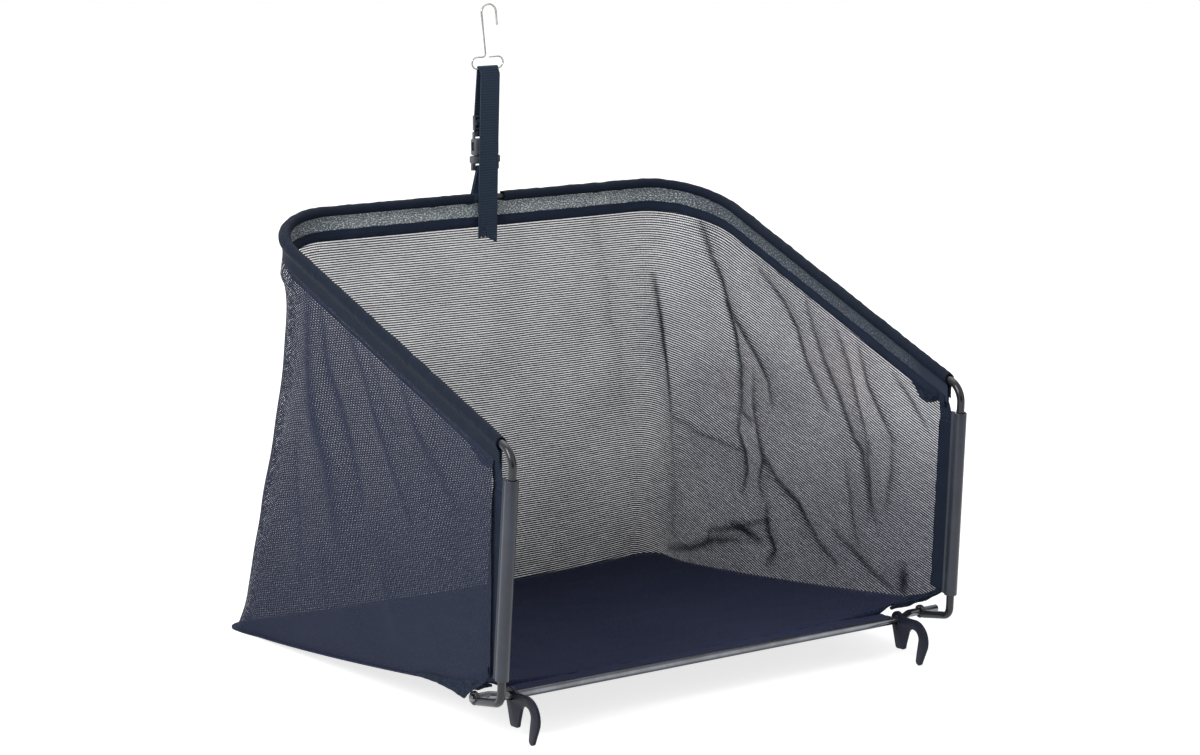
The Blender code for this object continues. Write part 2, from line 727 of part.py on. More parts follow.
def build_female(parent):
    x, y = strap_offset, rim_rear
    body = box((0.0, 0.0, female_height / 2), (female_width, buckle_thickness, female_height))
    place = (x, y, female_bottom)
    female = add_object("buckle_female", body, parent, (0.10, 0.105, 0.115), 0.4, 0.0, place)
    edges = female.modifiers.new("Bevel", "BEVEL")
    edges.width = 0.0014
    edges.segments = 2
    holder = add_empty("female_tools", parent, place)
    add_strap_bar(female, holder, "female", female_width, female_height, female_bar_center - female_bottom)
    pocket_width = 2 * prong_reach() + 2 * cloth_gap
    pocket_depth = prong_length + cloth_gap
    pocket = box((0.0, 0.0, pocket_depth / 2 - 0.001),
                 (pocket_width, prong_thickness + 2 * cloth_gap, pocket_depth + 0.002))
    combine(female, add_cutter("female_pocket", pocket, holder), "DIFFERENCE")
    window = box((0.0, 0.0, female_height * 0.55), (0.04, prong_thickness, female_height * 0.5))
    combine(female, add_cutter("female_windows", window, holder), "DIFFERENCE")
    return female


def strap_path():
    """Centre line of the upper webbing: round its bar, through the tri-glide, over the hook and down."""
    turn = strap_bar_diameter / 2 + cloth_gap + webbing_thickness / 2
    path = [(rim_rear - turn, female_bar_center + 0.002)]
    path += arc_points((rim_rear, female_bar_center), turn, 180, 360, 10)
    weave = tri_glide_bar / 2 + cloth_gap + webbing_thickness / 2
    steps = 12
    for step in range(steps + 1):
        turn_share = 2 * step / steps - 1
        y = rim_rear - weave * math.cos(math.pi * turn_share)
        path.append((y, tri_glide_center + tri_glide_pitch * turn_share))
    over = hook_wire / 2 + cloth_gap + webbing_thickness / 2
    path += arc_points((hook_bar_setback, hook_bar_center), over, 0, 180, 10)
    tail_y = rim_rear - tail_setback
    tail_top = hook_bar_center
    for share, lag in ((0.12, 0.75), (0.3, 0.4), (0.6, 0.1), (0.8, 0.0)):
        y = tail_y + (hook_bar_setback - over - tail_y) * lag
        path.append((y, tail_top - tail_length * share))
    path.append((tail_y, tail_top - tail_length))
    return path


def build_upper_strap(parent):
    outline = ribbon_outline(strap_path(), webbing_thickness)
    place = (strap_offset, rim_rear, female_bottom)
    local = [(y - rim_rear, z - female_bottom) for y, z in outline]
    strap = add_object("strap_upper", prism(local, across(0.0), webbing_width), parent,
                       (0.014, 0.018, 0.032), 0.8, 0.0, place)
    holder = add_empty("strap_tools", parent, place)
    cut = box((0.0, 0.0, 0.0), (webbing_width * 2, 0.006, 0.012))
    tail_end = hook_bar_center - tail_length - female_bottom
    slant = add_cutter("strap_slant", cut, holder)
    slant.location = (0.0, -tail_setback, tail_end)
    slant.rotation_euler = (0.0, math.radians(20), 0.0)
    combine(strap, slant, "DIFFERENCE")


def build_tri_glide(parent):
    place = (strap_offset, rim_rear, female_bottom)
    lift = tri_glide_center - female_bottom
    span = webbing_width + 0.0036
    glide = add_object("tri_glide", cylinder_x((0.0, 0.0, lift), tri_glide_bar / 2, span, 12), parent,
                       (0.085, 0.09, 0.10), 0.4, 0.0, place)
    holder = add_empty("tri_glide_tools", parent, place)
    for side, label in ((-1, "lower"), (1, "upper")):
        bar = cylinder_x((0.0, 0.0, lift + side * tri_glide_pitch), tri_glide_bar / 2, span, 12)
        combine(glide, add_cutter(f"tri_glide_{label}_bar", bar, holder), "UNION")
    height = 2 * tri_glide_pitch + tri_glide_bar
    for side, label in ((-1, "left"), (1, "right")):
        cheek = box((side * (webbing_width / 2 + 0.0011), 0.0, lift), (0.0014, 0.0024, height + 0.0006))
        combine(glide, add_cutter(f"tri_glide_{label}_cheek", cheek, holder), "UNION")


def hook_path():
    """The hook's wire from its cut end: flat loop, shank and hook, in the plane of its lower bar."""
    end = loop_height / 2
    half = loop_width / 2 - end
    flat = [(0.0013, loop_height)]
    flat += arc_points((half, end), end, 90, -90, 10)
    flat += arc_points((-half, end), end, -90, -270, 10)
    flat += arc_points((-0.0046, loop_height + 0.0028), 0.0028, -90, -8, 5)
    crown = hook_height - hook_radius
    flat += arc_points((0.0014, crown), hook_radius, 176, -4, 14)
    flat += [(hook_radius + 0.0024, crown - 0.010)]
    return [Vector((x, 0.0, z)) for x, z in flat]


def build_hook(parent):
    place = (strap_offset, hook_bar_setback, hook_bar_center)
    wire = tube(hook_path(), hook_wire / 2, 8)
    add_object("wire_hook", wire, parent, (0.62, 0.62, 0.60), 0.25, 1.0, place)


def center_on_ground(box_frame):
    """Moves the whole box so that its bounding box stands centred on the origin."""
    bpy.context.view_layer.update()
    depsgraph = bpy.context.evaluated_depsgraph_get()
    lows = [math.inf] * 3
    highs = [-math.inf] * 3
    for item in bpy.data.objects:
        if item.type != "MESH" or item.hide_render:
            continue
        evaluated = item.evaluated_get(depsgraph)
        for corner in evaluated.bound_box:
            point = evaluated.matrix_world @ Vector(corner)
            lows = [min(low, value) for low, value in zip(lows, point)]
            highs = [max(high, value) for high, value in zip(highs, point)]
    box_frame.location = (-(lows[0] + highs[0]) / 2, -(lows[1] + highs[1]) / 2, -lows[2])
    bpy.context.view_layer.update()


def main():
    clear_scene()
    box_frame = add_empty("grass_box", None, (0.0, 0.0, 0.0))
    build_hoop(box_frame)
    build_crossbar(box_frame)
    build_claws(box_frame)
    build_uprights(box_frame)
    build_rim(box_frame)
    build_floor(box_frame)
    build_wall(box_frame)
    build_lower_strap(box_frame)
    build_male(box_frame)
    build_female(box_frame)
    build_upper_strap(box_frame)
    build_tri_glide(box_frame)
    build_hook(box_frame)
    center_on_ground(box_frame)


main()
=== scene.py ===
"""Grass box of a hand-pushed reel mower: how its wire, cloth, tapes, webbing, clips and hook look."""

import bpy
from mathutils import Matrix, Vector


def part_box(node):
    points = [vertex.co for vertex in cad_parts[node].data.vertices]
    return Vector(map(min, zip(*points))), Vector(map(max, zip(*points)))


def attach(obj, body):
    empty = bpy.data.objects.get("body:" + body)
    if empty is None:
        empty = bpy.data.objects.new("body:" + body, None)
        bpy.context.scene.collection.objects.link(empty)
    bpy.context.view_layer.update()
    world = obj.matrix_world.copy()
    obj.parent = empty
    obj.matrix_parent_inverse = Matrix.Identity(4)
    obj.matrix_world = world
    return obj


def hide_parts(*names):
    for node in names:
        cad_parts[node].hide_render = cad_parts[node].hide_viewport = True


bl_info = {
    "name": "Grass Box",
    "version": (1, 0, 0),
    "blender": (4, 5, 0),
    "location": "View3D > Sidebar > Grass Box",
    "description": "Makes the looks of a reel mower's mesh grass box on its packed frame",
    "category": "Object",
}

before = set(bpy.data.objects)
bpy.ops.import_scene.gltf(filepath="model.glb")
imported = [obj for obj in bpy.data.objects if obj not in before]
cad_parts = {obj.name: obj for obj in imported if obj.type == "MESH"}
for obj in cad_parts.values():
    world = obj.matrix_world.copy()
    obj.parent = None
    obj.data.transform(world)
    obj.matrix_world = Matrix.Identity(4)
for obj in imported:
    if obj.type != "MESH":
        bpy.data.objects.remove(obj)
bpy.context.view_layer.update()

import math

import bpy
import numpy as np
from bpy.props import FloatProperty, FloatVectorProperty, IntProperty, PointerProperty
from mathutils import Vector, noise

# The box's own frame: X across, Y rearward from the uprights' feet, Z up. Its lengths are the solids'.
hook_setback = 0.335
hook_low, hook_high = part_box("wire_hook")
shift = Vector((
    (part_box("claw_left")[0].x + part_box("claw_right")[1].x) / 2,
    (hook_low.y + hook_high.y) / 2 - hook_setback,
    0.0,
))

# Hoop and crossbar.
rim_rear = 0.340
rim_height = 0.338
rear_bend = 0.0595
foot_corner = Vector((0.205, 0.0, 0.036))
shoulder_corner = Vector((0.2015, -0.0125, 0.2165))
rear_corner = Vector((0.2093, rim_rear, rim_height))
eye_center = Vector((0.205, 0.0345, 0.0315))
eye_outer_radius = 0.0052
eye_play = 0.0003
eye_width = 0.003
bar_left_end = 0.2085
bar_right_end = 0.2215
bar_setback = 0.0285
bar_height = 0.0303
hem_drop = 0.0185
claw_offset = 0.1775
claw_thickness = 0.0025
claw_hole_radius = 0.0033
upright_tape_radius = 0.0036
upright_tape_start = 0.018
upright_tape_length = 0.1325

# Wall and floor.
wall_half = 0.2066
wall_front = 0.009
wall_rear = 0.401
floor_half = 0.2086
floor_front = 0.047
floor_rear = 0.404
floor_level_end = 0.378
rear_corner_radius = 0.018
front_corner_radius = 0.007
bow_depth = 0.014
bow_half = 0.19
bow_start = 0.2
hem_half = 0.1745
hem_front = 0.0325
hem_rear = 0.0467
hem_half_height = 0.0016

# Strap, buckle and hook.
strap_offset = -0.0015
strap_play = 0.0003
male_bar = 0.3623
female_bar = 0.3907
buckle_bar_radius = 0.0012
glide_center = 0.3992
glide_bar_radius = 0.0008
hook_bar = 0.4427
hook_bend_radius = 0.0009
tail_end = 0.2992

UP = Vector((0.0, 0.0, 1.0))
SIDES = ((-1, "left"), (1, "right"))


def metres(name, description, default, **limits):
    return FloatProperty(name=name, description=description, default=default, unit="LENGTH", **limits)


def fraction(name, description, default):
    return FloatProperty(
        name=name, description=description, default=default, min=0.02, max=0.6, subtype="FACTOR"
    )


def paint(name, description, default):
    return FloatVectorProperty(
        name=name, description=description, default=default, subtype="COLOR", size=3, min=0, max=1
    )


class GrassBoxWireSizes(bpy.types.PropertyGroup):
    rod_radius: metres("Rod radius", "Radius of the hoop's and the crossbar's wire", 0.003, min=0.001)
    eye_radius: metres("Eye radius", "Outer radius of the hoop's flattened eyes", eye_outer_radius, min=0.004)
    hook_radius: metres("Hook wire", "Radius of the hook's wire", 0.00075, min=0.0004)
    plate_bevel: metres("Plate edge", "Rounding of the claws' stamped edges", 0.0004, min=0.0001)


class GrassBoxClothSizes(bpy.types.PropertyGroup):
    knit_row: metres("Knit row", "Height of one row of the knitted mesh", 0.0020, min=0.0005)
    knit_wale: metres("Knit wale", "Width of one stitch of the knitted mesh", 0.00105, min=0.0005)
    rear_openness: fraction("Rear openness", "Share of light that passes the rear wall", 0.19)
    side_openness: fraction("Left openness", "Share of light that passes the left wall", 0.17)
    draw_in: metres("Corner draw-in", "How far the slack rear corners hang inward", 0.0145)
    wall_rows: IntProperty(
        name="Wall rows", description="Rows of points down the mesh wall", default=160, min=24, max=180
    )
    sleeve_thickness: metres("Sleeve cloth", "Thickness of the cloth round the rim's wire", 0.0007)
    tape_thickness: metres("Rim tape", "Thickness of the tape sewn along the rim", 0.0008)


class GrassBoxStrapSizes(bpy.types.PropertyGroup):
    width: metres("Webbing width", "Width of the strap's webbing", 0.0175)
    thickness: metres("Webbing thickness", "Thickness of the strap's webbing", 0.0012)


class GrassBoxColours(bpy.types.PropertyGroup):
    black_steel: paint("Hoop", "Black paint of the hoop", (0.013, 0.014, 0.019))
    satin_steel: paint("Crossbar", "Dark satin steel of the crossbar", (0.140, 0.148, 0.166))
    claw_steel: paint("Claws", "Dark steel of the claws", (0.012, 0.014, 0.026))
    clip_plastic: paint("Edge clips", "Grey plastic of the edge clips", (0.029, 0.035, 0.050))
    tape: paint("Tape", "Navy of the sewn tapes", (0.020, 0.029, 0.052))
    sleeve: paint("Sleeve", "Slate navy of the rim's sleeve", (0.0108, 0.0164, 0.0296))
    band: paint("Doubled band", "Doubled mesh inside the rim", (0.225, 0.285, 0.440))
    floor_cloth: paint("Floor", "Dark cloth of the floor", (0.0243, 0.0302, 0.0655))
    mesh: paint("Mesh thread", "Navy thread of the knitted mesh", (0.029, 0.036, 0.066))
    webbing: paint("Webbing", "Navy webbing of the strap", (0.017, 0.029, 0.053))
    buckle_plastic: paint("Buckle", "Dark plastic of the buckle", (0.070, 0.076, 0.088))
    zinc_wire: paint("Hook", "Bright zinc of the wire hook", (0.42, 0.42, 0.41))


# Materials


class Recipe:
    """A material's node tree, built step by step."""

    def __init__(self, name, colour, roughness, metallic=0.0):
        self.material = bpy.data.materials.new(name)
        self.material.use_nodes = True
        self.material.diffuse_color = (*colour, 1.0)
        self.nodes = self.material.node_tree.nodes
        self.links = self.material.node_tree.links
        self.shader = self.nodes["Principled BSDF"]
        self.shader.inputs["Base Color"].default_value = (*colour, 1.0)
        self.shader.inputs["Roughness"].default_value = roughness
        self.shader.inputs["Metallic"].default_value = metallic
        self.colour = colour
        self.roughness = roughness

    def put(self, socket, value):
        if isinstance(value, bpy.types.NodeSocket):
            self.links.new(value, socket)
        elif value is not None:
            socket.default_value = value

    def math(self, operation, a, b=None, c=None):
        node = self.nodes.new("ShaderNodeMath")
        node.operation = operation
        for socket, value in zip(node.inputs, (a, b, c)):
            self.put(socket, value)
        return node.outputs[0]

    def times(self, a, b):
        return self.math("MULTIPLY", a, b)

    def scaled(self, value, factor, start):
        """start + factor * value."""
        return self.math("MULTIPLY_ADD", value, factor, start)

    def place(self):
        return self.nodes.new("ShaderNodeTexCoord").outputs["Object"]

    def uv(self):
        return self.nodes.new("ShaderNodeTexCoord").outputs["UV"]

    def stretched(self, vector, scale):
        node = self.nodes.new("ShaderNodeMapping")
        self.put(node.inputs["Vector"], vector)
        node.inputs["Scale"].default_value = scale
        return node.outputs[0]

    def split(self, vector):
        node = self.nodes.new("ShaderNodeSeparateXYZ")
        self.put(node.inputs[0], vector)
        return node.outputs

    def noise(self, vector, scale, detail=2.0, roughness=0.5):
        node = self.nodes.new("ShaderNodeTexNoise")
        self.put(node.inputs["Vector"], vector)
        node.inputs["Scale"].default_value = scale
        node.inputs["Detail"].default_value = detail
        node.inputs["Roughness"].default_value = roughness
        return node.outputs[0]

    def attribute(self, name):
        node = self.nodes.new("ShaderNodeAttribute")
        node.attribute_name = name
        return node.outputs["Fac"]

    def ramp(self, value, low, high, to_low=0.0, to_high=1.0, smooth=True):
        node = self.nodes.new("ShaderNodeMapRange")
        node.interpolation_type = "SMOOTHSTEP" if smooth else "LINEAR"
        self.put(node.inputs["Value"], value)
        self.put(node.inputs["From Min"], low)
        self.put(node.inputs["From Max"], high)
        self.put(node.inputs["To Min"], to_low)
        self.put(node.inputs["To Max"], to_high)
        return node.outputs[0]

    def tint(self, factor, darker, lighter):
        """Base colour from darker to lighter shares of the material's own colour."""
        node = self.nodes.new("ShaderNodeMix")
        node.data_type = "RGBA"
        self.put(node.inputs[0], factor)
        for socket, level in ((node.inputs[6], darker), (node.inputs[7], lighter)):
            socket.default_value = (*(min(1.0, c * level) for c in self.colour), 1.0)
        self.put(self.shader.inputs["Base Color"], node.outputs[2])

    def bump(self, height, distance, strength=1.0):
        node = self.nodes.new("ShaderNodeBump")
        node.inputs["Distance"].default_value = distance
        node.inputs["Strength"].default_value = strength
        self.put(node.inputs["Height"], height)
        self.put(self.shader.inputs["Normal"], node.outputs[0])

    def set(self, socket, value):
        self.put(self.shader.inputs[socket], value)


def ridges(recipe, value, pitch):
    """0 to 1 waves, one for each pitch of a length in metres."""
    turned = recipe.times(value, math.tau / pitch)
    wave = recipe.math("SINE", turned)
    return recipe.scaled(wave, 0.5, 0.5)


def grained(recipe, grain, patches, contrast, rough_patches, rough_grain, relief):
    """A fine grain over soft patches: contrast is the span of the colour, and the others are depths."""
    recipe.tint(recipe.ramp(patches, 0.3, 0.7), *contrast)
    rough = recipe.scaled(patches, rough_patches, recipe.roughness - 0.08)
    recipe.set("Roughness", recipe.scaled(grain, rough_grain, rough))
    recipe.bump(grain, *relief)
    return recipe.material


def painted_steel(name, colour, roughness, gloss):
    recipe = Recipe(name, colour, roughness)
    recipe.set("Specular IOR Level", gloss)
    where = recipe.place()
    grain = recipe.noise(where, 900.0, 3.0, 0.6)
    patches = recipe.noise(where, 45.0, 3.0, 0.55)
    return grained(recipe, grain, patches, (0.82, 1.22), 0.16, 0.06, (0.00003, 0.5))


def satin_rod(name, colour):
    """Drawn steel with fine lines along the bar and a few dull patches, under a painted highlight band at
    mid height, painted shade on its underside and a darker painted reflection along its top.
    """
    recipe = Recipe(name, colour, 0.3, 0.8)
    where = recipe.place()
    drawn = recipe.noise(recipe.stretched(where, (14.0, 1500.0, 1500.0)), 1.0, 3.0, 0.6)
    dull = recipe.noise(where, 38.0, 4.0, 0.6)
    level = recipe.split(where)[2]
    # Painted light by height: shade below the highlight band, and a darker reflection above it.
    painted_underside_shade = recipe.ramp(level, bar_height - 0.0020, bar_height + 0.0006)
    painted_top_reflection = recipe.ramp(level, bar_height + 0.0008, bar_height + 0.0026, 1.0, 0.3)
    painted_highlight_band = recipe.times(painted_underside_shade, painted_top_reflection)
    recipe.tint(recipe.times(recipe.ramp(dull, 0.32, 0.72, 0.55, 1.0), painted_highlight_band), 0.2, 1.9)
    rough = recipe.scaled(dull, 0.14, 0.12)
    recipe.set("Roughness", recipe.scaled(drawn, 0.08, rough))
    recipe.bump(drawn, 0.00003, 0.4)
    return recipe.material


def moulded_plastic(name, colour, roughness, gloss=0.5, drawn=False):
    recipe = Recipe(name, colour, roughness)
    recipe.set("Specular IOR Level", gloss)
    where = recipe.place()
    if drawn:
        grain = recipe.noise(recipe.stretched(where, (900.0, 900.0, 40.0)), 1.0, 2.0, 0.5)
    else:
        grain = recipe.noise(where, 1500.0, 3.0, 0.65)
    patches = recipe.noise(where, 60.0, 2.0, 0.5)
    return grained(recipe, grain, patches, (0.86, 1.14), 0.12, 0.08, (0.00004, 0.6))


def zinc_finish(name, colour):
    recipe = Recipe(name, colour, 0.28, 1.0)
    where = recipe.place()
    blotch = recipe.noise(where, 400.0, 4.0, 0.6)
    recipe.tint(recipe.ramp(blotch, 0.3, 0.7), 0.7, 1.15)
    recipe.set("Roughness", recipe.scaled(blotch, 0.22, 0.16))
    recipe.bump(blotch, 0.00003, 0.4)
    return recipe.material


def stitched_cloth(name, colour, roughness, weave, slub, seams=(), speckle=0.0, shaded=False):
    """Woven or knitted cloth, read from a UV map in metres.

    weave is its pitch across, its pitch along and its depth, slub is its unevenness, and seams are its rows
    of stitches, each with its V and its pitch. A shaded cloth also reads the shade at each point.
    """
    recipe = Recipe(name, colour, roughness)
    across, along, depth = weave
    where = recipe.uv()
    parts = recipe.split(where)
    warp = ridges(recipe, parts[0], across)
    weft = ridges(recipe, parts[1], along)
    checker = recipe.times(warp, weft)
    height = recipe.scaled(warp, 0.4, checker)
    fuzz = recipe.noise(where, 1400.0, 3.0, 0.65)
    cloud = recipe.noise(where, 55.0, 3.0, 0.55)
    tone = recipe.scaled(checker, 0.45, recipe.times(cloud, 0.55))
    if speckle:
        dots = recipe.noise(recipe.stretched(where, (620.0, 900.0, 1.0)), 1.0, 2.0, 0.7)
        dots = recipe.ramp(dots, 0.52, 0.64)
        tone = recipe.scaled(dots, 0.75, recipe.times(tone, 0.25))
        height = recipe.scaled(dots, 0.6, height)
    if shaded:
        tone = recipe.times(tone, recipe.attribute("shade"))
    recipe.tint(tone, 1.0 - slub, 1.0 + slub * 1.8 + speckle * 1.6)
    height = recipe.scaled(fuzz, 0.5, height)
    for level, pitch in seams:
        gap = recipe.math("ABSOLUTE", recipe.math("SUBTRACT", parts[1], level))
        line = recipe.ramp(gap, 0.00035, 0.0007, 1.0, 0.0)
        dash = recipe.ramp(ridges(recipe, parts[0], pitch), 0.25, 0.45)
        stitch = recipe.times(line, dash)
        groove = recipe.ramp(gap, 0.0002, 0.0014, 1.0, 0.0)
        height = recipe.math("SUBTRACT", height, recipe.times(groove, 2.2))
        height = recipe.scaled(stitch, 3.2, height)
    recipe.set("Roughness", recipe.scaled(fuzz, 0.15, roughness - 0.08))
    recipe.set("Sheen Weight", 0.01)
    recipe.set("Sheen Roughness", 0.45)
    recipe.set("Specular IOR Level", 0.07)
    recipe.bump(height, depth, 0.8)
    return recipe.material


def knitted_mesh(name, colour, row):
    """Open warp knit with see-through holes, whose width, softness and column come with each point."""
    recipe = Recipe(name, colour, 0.75)
    where = recipe.uv()
    parts = recipe.split(where)
    uneven = recipe.noise(where, 260.0, 2.0, 0.6)
    v = recipe.scaled(uneven, 0.0003, parts[1])
    line = recipe.math("DIVIDE", v, row)
    chance = recipe.nodes.new("ShaderNodeTexWhiteNoise")
    chance.noise_dimensions = "1D"
    recipe.put(chance.inputs["W"], recipe.math("FLOOR", line))
    column = recipe.scaled(uneven, 0.5, recipe.attribute("knit_column"))
    column = recipe.math("ADD", column, chance.outputs["Value"])
    up = recipe.math("ABSOLUTE", recipe.math("SINE", recipe.times(line, math.pi)))
    side = recipe.math("ABSOLUTE", recipe.math("SINE", recipe.times(column, math.pi)))
    edge = recipe.attribute("weave_edge")
    dotted = recipe.ramp(edge, 0.2, 1.1, 0.6, 0.2, smooth=False)
    side = recipe.math("ADD", recipe.times(side, dotted), recipe.math("SUBTRACT", 1.0, dotted))
    cell = recipe.times(up, side)
    thick = recipe.noise(where, 620.0, 3.0, 0.7)
    slub = recipe.noise(recipe.stretched(where, (70.0, 620.0, 1.0)), 1.0, 2.0, 0.6)
    level = recipe.attribute("weave_level")
    level = recipe.math("ADD", level, recipe.scaled(thick, 0.44, -0.22))
    level = recipe.math("ADD", level, recipe.scaled(slub, 0.24, -0.12))
    hole = recipe.ramp(cell, level, recipe.math("ADD", level, edge))
    recipe.set("Alpha", recipe.math("SUBTRACT", 1.0, hole))
    # The light value darkens the threads along the folds: painted shade.
    tone = recipe.times(recipe.ramp(thick, 0.3, 0.7), recipe.attribute("light"))
    recipe.tint(recipe.math("ADD", tone, recipe.attribute("light")), 0.1, 1.1)
    recipe.set("Specular IOR Level", 0.1)
    recipe.bump(recipe.math("SUBTRACT", 1.0, cell), 0.0003, 0.6)
    return recipe.material


# Shapes


def deselect():
    if bpy.context.object and bpy.context.object.mode != "OBJECT":
        bpy.ops.object.mode_set(mode="OBJECT")
    bpy.ops.object.select_all(action="DESELECT")


def take(item):
    deselect()
    item.select_set(True)
    bpy.context.view_layer.objects.active = item
    return item


def settle(item):
    """Applies an object's location, rotation and scale to its mesh."""
    take(item)
    bpy.ops.object.transform_apply(location=True, rotation=True, scale=True)
    return item


def mended(item, weld=0.0, flatten=0.0, close=False, outward=True):
    """Merges doubled points, dissolves flat edges, closes open ends and turns the faces outward."""
    take(item)
    bpy.ops.object.mode_set(mode="EDIT")
    bpy.ops.mesh.select_all(action="SELECT")
    if weld:
        bpy.ops.mesh.remove_doubles(threshold=weld)
    if flatten:
        bpy.ops.mesh.dissolve_limited(angle_limit=math.radians(flatten))
    if close:
        bpy.ops.mesh.select_all(action="DESELECT")
        bpy.ops.mesh.select_non_manifold()
        bpy.ops.mesh.fill_holes(sides=0)
        bpy.ops.mesh.select_all(action="SELECT")
    if outward:
        bpy.ops.mesh.normals_make_consistent(inside=False)
    bpy.ops.object.mode_set(mode="OBJECT")
    return item


def apply_all(item):
    take(item)
    for modifier in list(item.modifiers):
        bpy.ops.object.modifier_apply(modifier=modifier.name)
    return item


def thickened(item, thickness):
    solid = item.modifiers.new("Thickness", "SOLIDIFY")
    solid.thickness = thickness
    solid.offset = 0.0
    solid.use_quality_normals = True
    return apply_all(item)


def rounded_edges(item, width, segments, angle):
    edge = item.modifiers.new("Rounded edges", "BEVEL")
    edge.width = width
    edge.segments = segments
    edge.limit_method = "ANGLE"
    edge.angle_limit = math.radians(angle)
    return apply_all(item)


def surfaced(item, material, smooth_angle=None):
    item.data.materials.clear()
    item.data.materials.append(material)
    take(item)
    if smooth_angle is None:
        bpy.ops.object.shade_smooth()
    else:
        bpy.ops.object.shade_smooth_by_angle(angle=math.radians(smooth_angle))
    return item


def finished(item, body, slot, *nodes):
    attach(item, body)
    if nodes:
        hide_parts(*nodes)
    return item


def sewn(item, thickness, cloth, slot, *nodes, smooth_angle=None):
    """Gives one layer of cloth its thickness and looks. All sewn cloth stays with the box."""
    surfaced(mended(thickened(item, thickness)), cloth, smooth_angle)
    return finished(item, "box", slot, *nodes)


def rounded_path(corners, radii, steps):
    """Points along straight lines between corners, with an arc in place of each inner corner."""
    points = [corners[0].copy()]
    for before, corner, after, radius in zip(corners, corners[1:], corners[2:], radii):
        into = (corner - before).normalized()
        out = (after - corner).normalized()
        half_turn = into.angle(out) / 2
        reach = radius * math.tan(half_turn)
        center = corner + (out - into).normalized() * radius / math.cos(half_turn)
        start = corner - into * reach - center
        side = into * radius
        for step in range(steps + 1):
            angle = 2 * half_turn * step / steps
            points.append(center + start * math.cos(angle) + side * math.sin(angle))
    points.append(corners[-1].copy())
    return points


def arc_points(center, radius, start_degrees, end_degrees, steps):
    """Points of an arc in a plane, ends included."""
    points = []
    for step in range(steps + 1):
        angle = math.radians(start_degrees + (end_degrees - start_degrees) * step / steps)
        points.append((center[0] + radius * math.cos(angle), center[1] + radius * math.sin(angle)))
    return points


def mirrored(point):
    return Vector((-point.x, point.y, point.z))


def three_sides(corners, radius, steps, side_steps, rear_steps):
    """Points along the left side, a bend, the rear, a bend and the right side, from four corners."""
    bends = rounded_path(corners, [radius, radius], steps)
    left_bend = bends[1:steps + 2]
    right_bend = bends[steps + 2:2 * steps + 3]
    points = [bends[0].lerp(left_bend[0], i / side_steps) for i in range(side_steps)] + left_bend
    points += [left_bend[-1].lerp(right_bend[0], i / rear_steps) for i in range(1, rear_steps)] + right_bend
    return points + [right_bend[-1].lerp(bends[-1], i / side_steps) for i in range(1, side_steps + 1)]


def rail_stations(front, steps, side_steps, rear_steps):
    """Stations along the rim from the front of the left rail round to the front of the right rail."""
    share = (front - shoulder_corner.y) / (rear_corner.y - shoulder_corner.y)
    start = shoulder_corner.lerp(rear_corner, share)
    corners = [mirrored(start), mirrored(rear_corner), rear_corner.copy(), start]
    points = three_sides(corners, rear_bend, steps, side_steps, rear_steps)
    stations = []
    for i, point in enumerate(points):
        ahead = points[min(i + 1, len(points) - 1)] - points[max(i - 1, 0)]
        stations.append((point, ahead.cross(UP).normalized(), UP))
    return stations


def swept_rod(name, points, radius, roundness, ends=None):
    """A smooth rod along the points, drawn as a bevelled path and made a mesh."""
    deselect()
    bpy.ops.curve.primitive_nurbs_path_add(location=(0.0, 0.0, 0.0))
    item = bpy.context.object
    item.name = name
    item.data.splines.clear()
    line = item.data.splines.new("POLY")
    line.points.add(len(points) - 1)
    for i, (spot, point) in enumerate(zip(line.points, points)):
        spot.co = (*(point + shift), 1.0)
        spot.radius = 1.0 if ends is None else ends(i)
    item.data.dimensions = "3D"
    item.data.bevel_depth = radius
    item.data.bevel_resolution = roundness
    item.data.use_fill_caps = True
    bpy.ops.object.convert(target="MESH")
    item = settle(bpy.context.object)
    item.data.name = name
    return mended(item, weld=1e-6)


def blunt_ends(count, end):
    """Share of a rod's radius at each of its points, where the two ends are slightly rounded over."""
    return lambda i: end if i in (0, count - 1) else (0.93 if i in (1, count - 2) else 1.0)


def with_end_steps(points, step):
    """Adds two close points at each end of a path, for its rounded ends."""
    first = (points[1] - points[0]).normalized()
    last = (points[-2] - points[-1]).normalized()
    start = [points[0], points[0] + first * step * 0.4, points[0] + first * step]
    finish = [points[-1] + last * step, points[-1] + last * step * 0.4, points[-1]]
    return start + points[1:-1] + finish


def cloth_piece(name, points, uvs, values=None, keep=None):
    """A grid of points (rows, columns, 3) in the box's own frame as one layer of cloth.

    uvs are in metres, values are what a material reads at each point, and keep tells which cells stay.
    """
    rows, columns = points.shape[:2]
    flat = points.reshape(-1, 3) + np.array(shift)
    index = np.arange(rows * columns).reshape(rows, columns)
    quads = np.stack((index[:-1, :-1], index[:-1, 1:], index[1:, 1:], index[1:, :-1]), axis=-1).reshape(-1, 4)
    if keep is not None:
        quads = quads[keep.reshape(-1)]
    data = bpy.data.meshes.new(name)
    data.from_pydata(flat.tolist(), [], quads.tolist())
    layer = data.uv_layers.new(name="UVMap")
    corner = np.zeros(len(data.loops), np.int32)
    data.loops.foreach_get("vertex_index", corner)
    layer.data.foreach_set("uv", uvs.reshape(-1, 2)[corner].astype(np.float32).ravel())
    for label, value in (values or {}).items():
        attribute = data.attributes.new(label, "FLOAT", "POINT")
        attribute.data.foreach_set("value", value.astype(np.float32).ravel())
    item = bpy.data.objects.new(name, data)
    bpy.context.collection.objects.link(item)
    if keep is not None:
        take(item)
        bpy.ops.object.mode_set(mode="EDIT")
        bpy.ops.mesh.select_all(action="SELECT")
        bpy.ops.mesh.delete_loose()
        bpy.ops.object.mode_set(mode="OBJECT")
    return item


def unit(value):
    """The value, kept between 0 and 1."""
    return np.clip(value, 0.0, 1.0)


